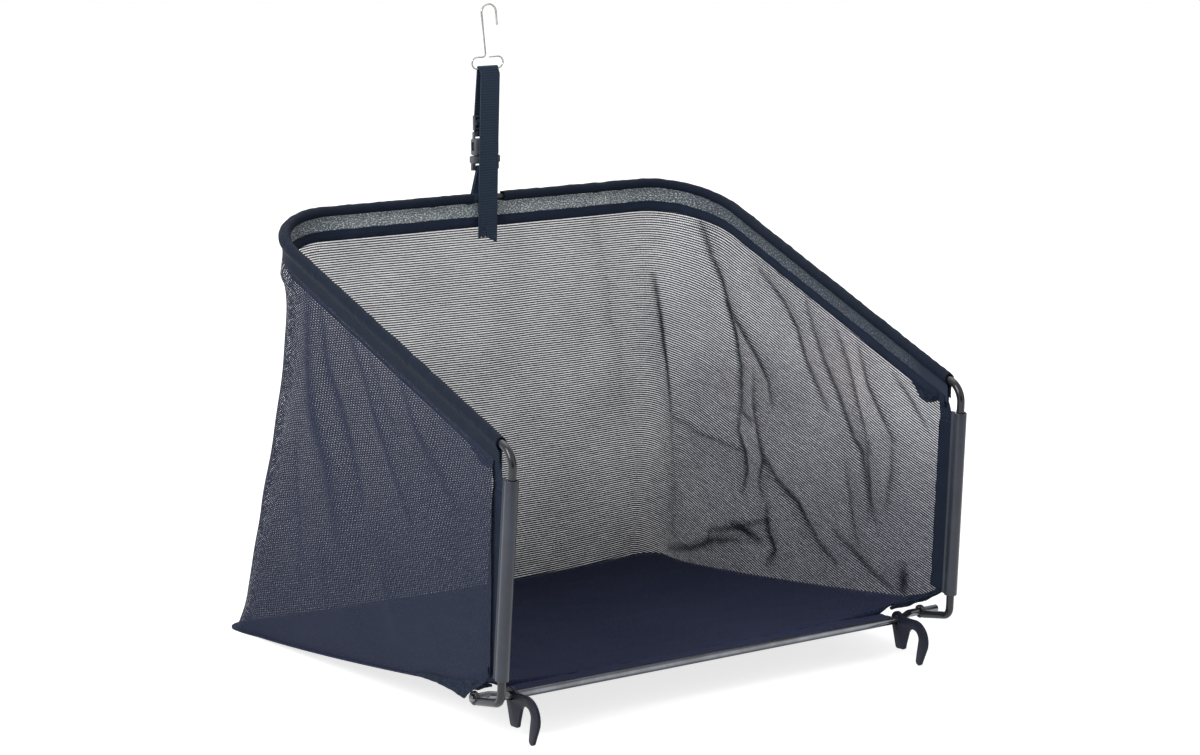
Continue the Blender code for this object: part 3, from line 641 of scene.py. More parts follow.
def rumple(points, size, amount, seed, axis=None):
    """Small uneven moves of a grid of points, along an axis for each point or upward."""
    flat = points.reshape(-1, 3)
    moves = np.array([noise.noise(Vector(p) / size + Vector((seed, -seed, 0.5 * seed))) for p in flat])
    moves = moves.reshape(points.shape[:2])[..., None]
    direction = np.array((0.0, 0.0, 1.0)) if axis is None else axis
    return points + direction * moves * amount


def as_rows(vectors):
    return np.array([tuple(v) for v in vectors])


def swept_cloth(profile, stations):
    """Grid of points from a profile of (inboard, up) points swept through stations."""
    place, side, up = (as_rows(column) for column in zip(*stations))
    return np.stack([place + side * a + up * b for a, b in profile])


def run_lengths(points):
    """Length from the first point to each point."""
    steps = np.linalg.norm(np.diff(points, axis=0), axis=-1)
    return np.concatenate(([0.0], np.cumsum(steps)))


def swept_uvs(profile, stations):
    """UV in metres: U along the sweep, V along the profile."""
    along = run_lengths(as_rows(p for p, _, _ in stations))
    down = run_lengths(np.array([(a, b, 0.0) for a, b in profile]))
    return np.stack(np.meshgrid(along, down), axis=-1)


def dressed_copy(name, node, bevel, segments):
    """A copy of a rigid CAD node with its edges rounded."""
    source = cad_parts[node]
    item = bpy.data.objects.new(name, source.data.copy())
    item.data.name = name
    bpy.context.collection.objects.link(item)
    return rounded_edges(mended(item, weld=2e-6, flatten=1.0), bevel, segments, 40.0)


# Wall of the bag


def wall_foot(y):
    """Lowest height of the wall at this setback: it rises over the hoop's eye to the edge tape."""
    clear_of_eye = eye_center.z + eye_outer_radius + 0.0012
    tape_bottom = 0.054
    if y > eye_center.y + eye_outer_radius + 0.008:
        return 0.0
    if y > eye_center.y:
        return clear_of_eye - (y - eye_center.y) * 0.45
    share = (eye_center.y - y) / (eye_center.y - wall_front)
    return clear_of_eye + (tape_bottom - clear_of_eye) * share


def floor_underside(y, share=1.0):
    """The floor sags from the crossbar to its level rear strip, a little less along the sides."""
    run = max(0.0, min(1.0, (floor_level_end - y) / (floor_level_end - floor_front)))
    return (0.0305 + 0.008 * share ** 4) * run ** 1.25


def rear_bow(x, y):
    """How far forward the rear edge of the floor is drawn between its corners."""
    reach = max(0.0, (y - bow_start) / (floor_rear - bow_start))
    return bow_depth * reach ** 2 * max(0.0, 1.0 - (x / bow_half) ** 2)


def corner_inset(distance, radius):
    """How far a rounded corner is in from the side, at this distance from its end."""
    if distance >= radius:
        return 0.0
    return radius - math.sqrt(max(0.0, radius ** 2 - (radius - distance) ** 2))


def floor_point(across_share, y):
    """A point of the floor: its front and rear corners are rounded, and it widens a little near the rear."""
    rear_inset = corner_inset(floor_rear - y, rear_corner_radius)
    front_inset = corner_inset(y - floor_front, front_corner_radius)
    flare = 0.005 * max(0.0, 1.0 - (floor_rear - y) / 0.05)
    x = across_share * (floor_half - rear_inset - front_inset * 0.9 + flare)
    return Vector((x, y - rear_bow(x, y), floor_underside(y, across_share)))


def wall_columns(fine):
    """Top, bottom and inboard direction of the wall's columns, from the left front to the right front."""
    side, bend, rear = 13 * fine, 8 * fine, 16 * fine
    stations = rail_stations(wall_front, bend, side, rear)
    top = [p - inboard * 0.0016 + up * (0.005 - hem_drop) for p, inboard, up in stations]
    right = [Vector((wall_half, wall_front, 0.0)), Vector((wall_half, wall_rear, 0.0))]
    corners = [mirrored(right[0]), mirrored(right[1]), right[1], right[0]]
    bottom = three_sides(corners, 0.020, bend, side, rear)
    for point in bottom:
        level_y = point.y
        point.y -= rear_bow(point.x, level_y)
        point.z = max(floor_underside(level_y) + 0.0013, wall_foot(point.y))
    inboard = [s for _, s, _ in stations]
    return [as_rows(group) for group in (top, bottom, inboard)]


# Folds of the mesh: width and outward push in mm, closeness of the threads along the fold, which also
# paints shade there, and how wide that is in mm, painted shade to one side of it (on its rear side if negative),
# and the (u, v) points it runs through.
# u is 0 to 1 on the left wall, 1 to 2 on the rear and 2 to 3 on the right; v is 0 at the rim and 1 at the floor.
FOLDS = (
    (7, 2.6, 0.95, 1.5, -0.5, (
        (2.16, 0.04), (2.237, 0.11), (2.341, 0.18), (2.392, 0.28), (2.418, 0.36), (2.444, 0.49),
        (2.483, 0.51),
    )),
    (7, -2.4, 0.95, 1.4, 0.3, ((1.978, 0.2), (2.017, 0.29), (2.056, 0.38), (2.121, 0.48), (2.172, 0.56))),
    (5, -1.4, 0.5, 1.3, 0.2, ((2.172, 0.56), (2.211, 0.58), (2.353, 0.6), (2.418, 0.6), (2.483, 0.61))),
    (14, 2.0, 0.12, 6.0, 0.15, ((1.8, 0.03), (1.836, 0.18), (1.849, 0.31), (1.875, 0.39), (1.875, 0.54))),
    (6, 1.8, 0.8, 1.5, -0.45, (
        (2.418, 0.07), (2.509, 0.11), (2.56, 0.16), (2.599, 0.24), (2.638, 0.3), (2.677, 0.36),
    )),
    (6, -1.6, 0.85, 1.6, -0.45, ((2.353, 0.21), (2.431, 0.28), (2.509, 0.36), (2.534, 0.43))),
    (7, 2.0, 0.8, 1.8, -0.45, (
        (2.573, 0.07), (2.612, 0.14), (2.651, 0.21), (2.703, 0.3), (2.754, 0.42), (2.78, 0.45), (2.832, 0.7),
    )),
    (6, 1.5, 0.7, 1.6, 0.35, ((2.677, 0.08), (2.716, 0.16), (2.754, 0.28), (2.806, 0.43))),
    (6, -1.4, 0.75, 1.5, -0.4, ((2.741, 0.08), (2.78, 0.19), (2.832, 0.28), (2.871, 0.36))),
    (5, 1.2, 0.7, 1.5, 0.0, ((2.845, 0.09), (2.897, 0.14), (2.948, 0.22))),
    (6, 1.2, 0.6, 1.6, 0.3, ((2.795, 0.42), (2.812, 0.55), (2.818, 0.7))),
    (6, -1.2, 0.5, 1.6, -0.25, ((2.86, 0.34), (2.868, 0.48), (2.86, 0.64))),
    (6, 1.2, 0.55, 1.6, -0.3, ((2.745, 0.52), (2.77, 0.66), (2.8, 0.82))),
    (4, 1.6, 0.9, 1.5, 0.4, ((2.444, 0.5), (2.45, 0.55), (2.483, 0.61), (2.496, 0.67), (2.496, 0.73))),
    (5, -1.6, 0.75, 1.4, -0.4, ((2.457, 0.36), (2.483, 0.46), (2.534, 0.61), (2.534, 0.69), (2.547, 0.73))),
    (6, 2.2, 0.9, 1.7, 0.4, (
        (2.522, 0.58), (2.573, 0.66), (2.638, 0.72), (2.664, 0.77), (2.703, 0.84), (2.754, 0.9),
    )),
    (5, 1.6, 0.7, 1.6, -0.35, ((2.741, 0.79), (2.793, 0.85), (2.845, 0.93), (2.884, 0.98))),
    (4, 1.6, 0.8, 2.0, 0.4, ((2.328, 0.97), (2.392, 0.95), (2.444, 0.91), (2.509, 0.89))),
    (4, -1.6, 0.7, 1.8, 0.3, ((2.431, 0.92), (2.431, 0.88), (2.496, 0.85), (2.573, 0.8))),
    (3, 1.6, 0.95, 2.4, 0.4, ((2.483, 0.84), (2.522, 0.86), (2.56, 0.88))),
    (4, 1.8, 0.95, 2.0, -0.4, ((2.56, 0.76), (2.573, 0.84), (2.599, 0.9), (2.586, 0.95))),
    (5, 1.8, 0.95, 3.0, 0.3, ((2.909, 0.88), (2.909, 0.95), (2.909, 0.99))),
    (12, -1.6, 0.2, 5.0, 0.2, ((2.185, 0.53), (2.224, 0.65), (2.328, 0.82), (2.353, 0.98))),
    (8, 2.2, 0.97, 5.4, 0.0, (
        (0.615, 0.0), (0.605, 0.1), (0.585, 0.2), (0.556, 0.3), (0.491, 0.43), (0.44, 0.6),
    )),
    (8, -1.8, 0.92, 3.0, -0.3, ((0.569, 0.02), (0.517, 0.17), (0.466, 0.25), (0.414, 0.37), (0.375, 0.48))),
    (7, 1.8, 0.9, 2.2, 0.25, ((0.478, 0.02), (0.414, 0.1), (0.349, 0.22), (0.297, 0.32), (0.233, 0.45))),
    (7, 1.6, 0.85, 2.2, -0.25, ((0.297, 0.03), (0.233, 0.14), (0.155, 0.23), (0.142, 0.26), (0.091, 0.34))),
    (7, -1.2, 0.5, 2.2, 0.0, ((0.4, 0.04), (0.34, 0.13), (0.29, 0.2))),
    (8, 1.6, 0.5, 2.6, 0.3, ((0.336, 0.55), (0.297, 0.69), (0.259, 0.82), (0.246, 0.9))),
    (7, 1.2, 0.45, 3.0, 0.0, ((0.478, 0.7), (0.44, 0.85))),
    (9, 2.0, 0.9, 2.4, 0.0, ((0.8, 0.02), (0.815, 0.2), (0.83, 0.5), (0.82, 0.85))),
    (9, -1.6, 0.45, 2.4, -0.2, ((0.6, 0.42), (0.56, 0.6), (0.52, 0.8))),
    (9, -1.6, 0.4, 3.0, 0.0, ((0.9, 0.05), (0.91, 0.4), (0.92, 0.75))),
)


def nearest_on_line(here, spots):
    """Distance of each point from a line through spots, the share of the way along it, and its side."""
    total = sum(math.dist(p, q) for p, q in zip(spots, spots[1:]))
    nearest = np.full(here.shape[:-1], 9.0)
    share = np.zeros_like(nearest)
    hand = np.zeros_like(nearest)
    done = 0.0
    for p, q in zip(spots, spots[1:]):
        run = np.array(q) - np.array(p)
        length = math.hypot(*run)
        rel = here - np.array(p)
        t = unit((rel @ run) / length ** 2)
        off = rel - t[..., None] * run
        gap = np.hypot(off[..., 0], off[..., 1])
        closer = gap < nearest
        nearest = np.where(closer, gap, nearest)
        share = np.where(closer, (done + t * length) / total, share)
        hand = np.where(closer, np.sign(run[0] * rel[..., 1] - run[1] * rel[..., 0]), hand)
        done += length
    return nearest, share, hand


def fold_field(u, v, along, heights):
    """Outward push in metres and darkness of all folds, which is partly painted shade, at every point of the
    wall.
    """
    here = np.stack((along[None, :] + 0.0 * v, v * heights[None, :]), axis=-1)
    push = np.zeros_like(v)
    dark = np.zeros_like(v)
    columns = u[0]
    for width, depth, darkness, line_width, flank, points in FOLDS:
        spots = [(np.interp(a, columns, along), b * np.interp(a, columns, heights)) for a, b in points]
        nearest, share, hand = nearest_on_line(here, spots)
        fade = np.sin(np.pi * (0.08 + 0.84 * share)) ** 0.5
        spread = width * 0.001
        push += depth * 0.001 * fade * np.exp(-nearest / spread)
        line = darkness * np.exp(-(nearest / (line_width * 0.0017)) ** 2)
        # Painted shade on one side of the fold, next to its line.
        beside = abs(flank) * np.exp(-nearest / (spread * 1.3)) * (hand * (1.0 if flank > 0 else -1.0) > 0)
        dark = 1.0 - (1.0 - dark) * (1.0 - fade * line) * (1.0 - fade * beside)
    return push, dark


def weave_levels(openness, edge):
    """Hole threshold of the knit that lets this share of light through, for holes with this soft an edge."""
    x = (np.arange(80) + 0.5) / 80
    dotted = np.interp(edge, (0.2, 1.1), (0.6, 0.2))
    cell = np.abs(np.sin(np.pi * x))[:, None] * (1.0 - dotted + dotted * np.abs(np.sin(np.pi * x)))[None, :]
    levels = np.linspace(-1.0, 1.15, 120)
    passed = []
    for level in levels:
        share = unit((cell - level) / edge)
        passed.append(float((share * share * (3 - 2 * share)).mean()))
    return np.interp(openness, passed[::-1], levels[::-1])


def wall_grid(fine, rows, draw_in):
    """Points of the wall with its folds, its drawn-in corners and its slow waves, and what the knit needs."""
    top, bottom, inboard = wall_columns(fine)
    count = len(top)
    u = np.repeat((3.0 * np.arange(count) / (count - 1))[None, :], rows + 1, axis=0)
    v = np.repeat((np.arange(rows + 1) / rows)[:, None], count, axis=1)
    points = top[None] * (1 - v[..., None]) + bottom[None] * v[..., None]
    corner = np.clip(1.0 - np.minimum(np.abs(u - 0.88), np.abs(u - 2.12)) / 0.33, 0.0, None)
    below = unit((v - 0.05) / 0.95)
    draw = draw_in * corner * np.abs(np.sin(np.pi * below ** 0.6))
    middle = (top + bottom) / 2
    along = run_lengths(middle)
    heights = np.linalg.norm(bottom - top, axis=-1)
    push, dark = fold_field(u, v, along, heights)
    free = np.sin(np.pi * unit((v - 0.02) / 0.97)) ** 0.45
    edge = unit(np.minimum(u, 3.0 - u) / 0.12)
    rear = unit(np.minimum(u - 1.0, 2.0 - u) / 0.12)
    slow = 0.0016 * np.cos(2 * np.pi * (u - 1.0) * 4.5 + 1.4 * v) * (0.35 + 0.65 * v) * rear
    slow += 0.0008 * np.cos(2 * np.pi * (u * 3.2 + 0.8 * v)) * (1 - rear)
    cover = 0.0014 * unit(1.0 - np.minimum(u, 3.0 - u) / 0.2) * unit(v / 0.05)
    outward = (push + slow) * free * edge - draw + cover
    flare = unit(1.0 - (floor_rear - points[..., 1]) / 0.05)
    flare = flare * unit((v - 0.90) / 0.10) ** 2
    flare *= inboard[None, :, 0] ** 2
    outward += 0.0060 * flare * unit((np.abs(points[..., 0]) - 0.17) / 0.03)
    points = points - inboard[None] * outward[..., None]
    uvs = np.stack((along[None, :] + 0.0 * v, v * heights[None, :]), axis=-1)
    return points, inboard, u, v, uvs, dark


def knit_openness(u, v, dark, points, sizes):
    """Share of light that the knit lets through: less down the wall and along its folds."""
    down_rear = np.interp(v, (0.0, 0.12, 0.5, 0.7, 0.88, 1.0), (1.34, 1.27, 0.88, 0.72, 0.48, 0.40))
    down_right = np.interp(v, (0.0, 0.2, 0.45, 0.65, 0.85, 1.0), (1.26, 1.16, 0.70, 0.50, 0.44, 0.40))
    rear = sizes.rear_openness * down_rear
    right = sizes.rear_openness * down_right
    turn = unit((u - 2.0) / 0.35)
    openness = rear * (1.0 - turn) + right * turn * np.interp(u, (2.1, 2.5, 3.0), (1.10, 0.84, 0.96))
    past_left = unit((u - 0.97) / 0.03)
    upper = np.exp(-((u - 0.45) / 0.30) ** 2 - (v / 0.50) ** 2)
    near_corner = np.exp(-((u - 0.72) / 0.075) ** 2 - (v / 0.75) ** 2)
    left = sizes.side_openness * (1.0 + 0.45 * upper + 1.3 * near_corner)
    openness = openness * past_left + left * (1.0 - past_left)
    # Closing the knit along the folds is partly painted shade.
    openness = openness * np.clip(1.0 - dark, 0.03, 1.4)
    drift = np.array([noise.noise(Vector(p) / 0.05) for p in points.reshape(-1, 3)]).reshape(v.shape)
    return openness * (1.0 + 0.16 * drift)


class GRASSBOX_OT_bag(bpy.types.Operator):
    """Knitted mesh wall of the bag, round the left side, the rear and the right side"""

    bl_idname = "grassbox.bag"
    bl_label = "Mesh bag"

    def execute(self, context):
        sizes = context.scene.grassbox_cloth
        rows = sizes.wall_rows
        fine = 9
        points, inboard, u, v, uvs, dark = wall_grid(fine, rows, sizes.draw_in)
        wall_in = np.repeat(inboard[None], rows + 1, axis=0)
        fade = unit(np.minimum(v, 1.0 - v) / 0.06)[..., None]
        ripple = rumple(points, 0.040, 0.0010, 3.0, wall_in) - points
        points = points + ripple * fade
        openness = knit_openness(u, v, dark, points, sizes)
        edge = np.where(u < 1.0, 0.2, np.interp(u, (1.0, 1.9, 2.4), (1.1, 1.1, 0.7)))
        level = np.zeros_like(u)
        for column in range(u.shape[1]):
            level[:, column] = weave_levels(openness[:, column], edge[0, column])
        values = {
            "weave_level": level,
            "weave_edge": edge,
            # The threads darken along the folds of the rear and right walls: painted shade.
            "light": 0.5 * (1.0 - 0.85 * dark * unit((u - 1.0) / 0.1)),
            "knit_column": (uvs[..., 0] - 0.4 * np.minimum(uvs[..., 0], 0.36)) / sizes.knit_wale,
        }
        item = cloth_piece("bag_mesh", points, uvs, values)
        colours = context.scene.grassbox_colours
        surfaced(item, knitted_mesh("Knitted mesh", tuple(colours.mesh), sizes.knit_row))
        finished(item, "box", "mesh", "mesh_wall")
        return {"FINISHED"}


# Rim


NOTCH = (-0.0150, 0.0136)


def sleeve_profile():
    """Inner edge, over the wire, and down the outer flap: (inboard, up)."""
    profile = [(0.00165, -0.0046), (0.00190, -0.0040)]
    profile += arc_points((0.0, 0.0), 0.00435, -28, 208, 17)
    profile += [(-0.0027, -0.0042), (-0.0018, -0.0056), (-0.0016, -0.0072), (-0.0015, -0.0090)]
    profile += [(-0.0015, -0.0106), (-0.0015, -0.0122), (-0.00155, -0.0138), (-0.0016, -0.0146)]
    return profile


def profile_reach(profile):
    """Share of the way along a profile, at each of its points."""
    lengths = run_lengths(np.array([(a, b, 0.0) for a, b in profile]))
    return lengths / lengths[-1]


def along_rim(profile, front):
    """Points, UVs, centres and inboard directions of a strip of cloth that runs along the rim."""
    dense = 2
    stations = rail_stations(front, 24 * dense, 110 * dense, 110 * dense)
    center, inboard, _ = (as_rows(column) for column in zip(*stations))
    inboard = np.repeat(inboard[None], len(profile), axis=0)
    return swept_cloth(profile, stations), swept_uvs(profile, stations), center, inboard


class GRASSBOX_OT_rim(bpy.types.Operator):
    """Sleeve round the rim's wire, speckled doubled band inside it and the stitched tape below"""

    bl_idname = "grassbox.rim"
    bl_label = "Rim sleeve and tape"

    def sleeve(self, thickness, colour):
        """The puckered sleeve, open where the strap's loop goes round the wire."""
        profile = sleeve_profile()
        points, uvs, center, _ = along_rim(profile, 0.002)
        outward = points - center[None]
        outward /= np.linalg.norm(outward, axis=-1, keepdims=True)
        puckers = np.zeros(points.shape[:2])
        for i, j in np.ndindex(*puckers.shape):
            a, b = uvs[i, j]
            fine = noise.noise(Vector((a / 0.006 + b / 0.012, b / 0.02, 1.0)))
            broad = noise.noise(Vector((a / 0.015, b / 0.006, 7.0)))
            puckers[i, j] = 0.00042 * fine + 0.00030 * broad
        wrap = unit((profile_reach(profile) - 0.10) / 0.2)
        points = points + outward * (puckers - 0.0001)[..., None] * (0.45 + 0.55 * wrap[:, None, None])
        x = center[:, 0]
        rear = center[:, 1] > rim_rear - 0.002
        keep = np.ones((points.shape[0] - 1, points.shape[1] - 1), bool)
        for k, (_, height) in enumerate(profile[:-1]):
            if height > -0.0075:
                ragged = 0.0010 * noise.noise(Vector((k * 0.9, 0.3, 0.0)))
                notch = rear & (x > NOTCH[0] + ragged) & (x < NOTCH[1] + ragged)
                keep[k, notch[:-1]] = False
        item = cloth_piece("rim_sleeve", points, uvs, None, keep)
        seam = float(uvs[-1, 0, 1]) - 0.0026
        cloth = stitched_cloth(
            "Sleeve cloth", colour, 0.62, (0.00045, 0.00045, 0.0001), 0.22, ((seam, 0.0034),)
        )
        sewn(item, thickness, cloth, "hem_fabric", "rim_hem")

    def inner_band(self, colour):
        """The doubled mesh, speckled, palest at the rear and dark at both ends."""
        profile = [(0.0031, -0.0028), (0.0022, -0.0040), (0.0014, -0.0054), (0.0010, -0.0080)]
        profile += [(0.0009, -0.0105), (0.0008, -0.0130), (0.0008, -0.0158), (0.0007, -0.0185)]
        points, uvs, _, inboard = along_rim(profile, 0.003)
        points = rumple(points, 0.012, 0.0005, 2.0, inboard)
        shade = np.interp(
            uvs[..., 0] / uvs[0, -1, 0],
            (0.0, 0.03, 0.05, 0.30, 0.40, 0.60, 0.70, 0.95, 0.97),
            (0.0, 0.0, 0.8, 1.0, 2.3, 2.3, 0.65, 0.2, 0.0),
        )
        item = cloth_piece("rim_inner_band", points, uvs, {"shade": shade})
        cloth = stitched_cloth(
            "Doubled mesh", colour, 0.8, (0.0013, 0.00175, 0.0004), 0.8, speckle=1.0, shaded=True
        )
        sewn(item, 0.0008, cloth, "mesh", "rim_hem")

    def binding(self, thickness, colour):
        """The tape with its two rows of stitches, along the lower edge of the band."""
        profile = []
        for k in range(9):
            bulge = math.sin(math.pi * k / 8) ** 0.5
            profile.append((0.00165 + 0.00035 * bulge, -0.0142 - 0.0079 * k / 8))
        points, uvs, _, inboard = along_rim(profile, 0.005)
        points = rumple(points, 0.010, 0.0004, 5.0, inboard)
        points = rumple(points, 0.016, 0.0005, 9.0)
        item = cloth_piece("rim_binding", points, uvs)
        seams = ((0.0012, 0.003), (0.0066, 0.003))
        cloth = stitched_cloth("Rim tape", colour, 0.75, (0.0011, 0.0005, 0.00022), 0.3, seams)
        sewn(item, thickness, cloth, "tape", "rim_tape")

    def execute(self, context):
        sizes = context.scene.grassbox_cloth
        colours = context.scene.grassbox_colours
        self.sleeve(sizes.sleeve_thickness, tuple(colours.sleeve))
        self.inner_band(tuple(colours.band))
        self.binding(sizes.tape_thickness, tuple(colours.tape))
        return {"FINISHED"}


# Uprights


def upright_frame(side):
    """Foot of an upright, and the directions along it, inboard and rearward."""
    foot = foot_corner if side > 0 else mirrored(foot_corner)
    top = shoulder_corner if side > 0 else mirrored(shoulder_corner)
    along = (top - foot).normalized()
    inboard = Vector((-side, 0.0, 0.0))
    inboard = (inboard - along * inboard.dot(along)).normalized()
    rearward = Vector((0.0, 1.0, 0.0))
    rearward = (rearward - along * rearward.dot(along) - inboard * rearward.dot(inboard)).normalized()
    return foot, along, inboard, rearward


class GRASSBOX_OT_bindings(bpy.types.Operator):
    """Dark tape folded round each upright and sewn to the mesh"""

    bl_idname = "grassbox.bindings"
    bl_label = "Edge bindings"

    def execute(self, context):
        colours = context.scene.grassbox_colours
        navy = tuple(c * 0.75 for c in colours.tape)
        seams = ((0.0030, 0.003), (0.0165, 0.003))
        cloth = stitched_cloth("Edge tape", navy, 0.78, (0.0005, 0.0011, 0.0002), 0.35, seams)
        profile = [(-0.0005, 0.0230 - 0.019 * k / 10) for k in range(11)]
        profile += arc_points((0.0, 0.0), upright_tape_radius, 98, 442, 22)
        profile += [(0.0005, 0.0040 + 0.019 * k / 10) for k in range(11)]
        flange = unit((np.array([b for _, b in profile]) - 0.012) / 0.011)
        count = 90
        for side, label in SIDES:
            foot, along, inboard, rearward = upright_frame(side)
            start = foot + along * upright_tape_start
            stations = []
            for i in range(count + 1):
                stations.append((start + along * (upright_tape_length * i / count), inboard, rearward))
            points = swept_cloth(profile, stations)
            points = rumple(points, 0.013, 0.0004, 4.0 + side, np.array(tuple(inboard)))
            wave = np.array([0.0012 * noise.noise(Vector((i * 0.16, side, 0.0))) for i in range(count + 1)])
            points += np.array(tuple(rearward)) * (flange[:, None] * wave[None, :])[..., None]
            item = cloth_piece(f"edge_binding_{label}", points, swept_uvs(profile, stations))
            sewn(item, 0.00045, cloth, "tape", f"edge_tape_{label}")
        return {"FINISHED"}


class GRASSBOX_OT_clips(bpy.types.Operator):
    """Plastic profiles that clamp the bag's side edges to the uprights"""

    bl_idname = "grassbox.clips"
    bl_label = "Edge clips"

    def execute(self, context):
        colours = context.scene.grassbox_colours
        plastic = moulded_plastic("Clip plastic", tuple(colours.clip_plastic), 0.30, drawn=True, gloss=0.42)
        for _, label in SIDES:
            item = dressed_copy(f"clip_{label}", f"edge_clip_{label}", 0.0004, 3)
            surfaced(item, plastic, 35.0)
            finished(item, "box", "clip_plastic", f"edge_clip_{label}")
        return {"FINISHED"}


# Wire frame


class GRASSBOX_OT_wire(bpy.types.Operator):
    """Bent hoop with its flattened eyes, and the crossbar through them"""

    bl_idname = "grassbox.wire"
    bl_label = "Hoop and crossbar"

    def hoop(self, sizes, colour):
        """One bent wire, pressed flat at its ends round the two eyes."""
        right = [eye_center - Vector((0.0, 0.0030, 0.0018)), foot_corner, shoulder_corner, rear_corner]
        corners = [mirrored(p) for p in right] + right[::-1]
        radii = [0.008, 0.015, rear_bend]
        path = rounded_path(corners, radii + radii[::-1], 24)
        hoop = swept_rod("hoop_wire", path, sizes.rod_radius, 7)
        eyes = ((-1, mirrored(eye_center) + shift), (1, eye_center + shift))
        for side, center in eyes:
            for vertex in hoop.data.vertices:
                gap = (Vector((0.0, vertex.co.y, vertex.co.z)) - Vector((0.0, center.y, center.z))).length
                if vertex.co.x * side > 0.15 and gap < 0.013:
                    flat = 1.0 - 0.5 * min(1.0, max(0.0, (0.013 - gap) / 0.007))
                    vertex.co.x = center.x + (vertex.co.x - center.x) * flat
        for _, center in eyes:
            deselect()
            bpy.ops.mesh.primitive_cylinder_add(
                vertices=40, radius=sizes.eye_radius, depth=eye_width, end_fill_type="NOTHING",
                location=center, rotation=(0.0, math.pi / 2, 0.0),
            )
            ring = settle(bpy.context.object)
            solid = ring.modifiers.new("Eye wall", "SOLIDIFY")
            solid.thickness = sizes.eye_radius - sizes.rod_radius - eye_play
            solid.offset = -1.0
            edge = ring.modifiers.new("Pressed edge", "BEVEL")
            edge.width = 0.0006
            edge.segments = 3
            apply_all(ring)
            hoop.select_set(True)
            ring.select_set(True)
            bpy.context.view_layer.objects.active = hoop
            bpy.ops.object.join()
            hoop = bpy.context.object
        surfaced(hoop, painted_steel("Black steel", colour, 0.15, 0.42), 40.0)
        finished(hoop, "box", "black_steel", "hoop_rod")

    def crossbar(self, radius, colour):
        """A rod, cranked at both ends, that goes through the eyes."""
        bar = []
        for side, end in ((-1, bar_left_end), (1, bar_right_end)):
            half = [
                Vector((side * end, eye_center.y, eye_center.z)),
                Vector((side * 0.193, eye_center.y, eye_center.z)),
                Vector((side * 0.181, bar_setback, bar_height)),
            ]
            bar += half if side < 0 else half[::-1]
        path = rounded_path(bar, [0.007] * 4, 14)
        path = with_end_steps(path, 0.0006)
        rod = swept_rod("crossbar_rod", path, radius, 9, blunt_ends(len(path), 0.78))
        surfaced(rod, satin_rod("Satin steel", colour), 40.0)
        finished(rod, "box", "satin_steel", "crossbar")

    def execute(self, context):
        sizes = context.scene.grassbox_wire
        colours = context.scene.grassbox_colours
        self.hoop(sizes, tuple(colours.black_steel))
        self.crossbar(sizes.rod_radius, tuple(colours.satin_steel))
        return {"FINISHED"}


def claw_plate(name, x, thickness, bevel):
    """A stamped plate: its outline is filled, extruded and drilled for the bar, and its edges are rounded."""
    outline = arc_points((bar_setback, bar_height), 0.0068, -12, 128, 24)
    outline += [(0.0212, 0.0340)]
    outline += arc_points((0.0077, 0.0193), 0.0152, 84, 197, 36)
    outline += arc_points((0.0019, 0.0033), 0.0033, 200, 368, 18)
    outline += arc_points((0.0089, 0.0203), 0.0065, 186, 20, 30)
    outline += [(0.0182, 0.0125)]
    outline += arc_points((0.0212, 0.0108), 0.0026, 195, 262, 8)
    outline += arc_points((0.0272, 0.0104), 0.0026, 258, 340, 8)
    deselect()
    bpy.ops.mesh.primitive_circle_add(vertices=len(outline), fill_type="NGON", location=(0.0, 0.0, 0.0))
    plate = bpy.context.object
    plate.name = plate.data.name = name
    for vertex, (y, z) in zip(plate.data.vertices, outline):
        vertex.co = Vector((x - thickness / 2, y, z)) + shift
    bpy.ops.object.mode_set(mode="EDIT")
    bpy.ops.mesh.select_all(action="SELECT")
    bpy.ops.mesh.extrude_region_move(TRANSFORM_OT_translate={"value": (thickness, 0.0, 0.0)})
    mended(plate)
    bpy.ops.mesh.primitive_cylinder_add(
        vertices=48, radius=claw_hole_radius, depth=0.01,
        location=Vector((x, bar_setback, bar_height)) + shift, rotation=(0.0, math.pi / 2, 0.0),
    )
    drill = settle(bpy.context.object)
    cut = plate.modifiers.new("Bar hole", "BOOLEAN")
    cut.operation = "DIFFERENCE"
    cut.object = drill
    rounded_edges(plate, bevel, 3, 50.0)
    bpy.data.objects.remove(drill, do_unlink=True)
    return plate


class GRASSBOX_OT_claws(bpy.types.Operator):
    """Flat steel claws that hang the box on the mower"""

    bl_idname = "grassbox.claws"
    bl_label = "Claws"

    def execute(self, context):
        sizes = context.scene.grassbox_wire
        colours = context.scene.grassbox_colours
        steel = painted_steel("Claw steel", tuple(colours.claw_steel), 0.28, 0.14)
        for side, label in SIDES:
            item = claw_plate(f"claw_plate_{label}", side * claw_offset, claw_thickness, sizes.plate_bevel)
            surfaced(item, steel, 32.0)
            finished(item, "box", "claw_steel", f"claw_{label}")
        return {"FINISHED"}


# Floor


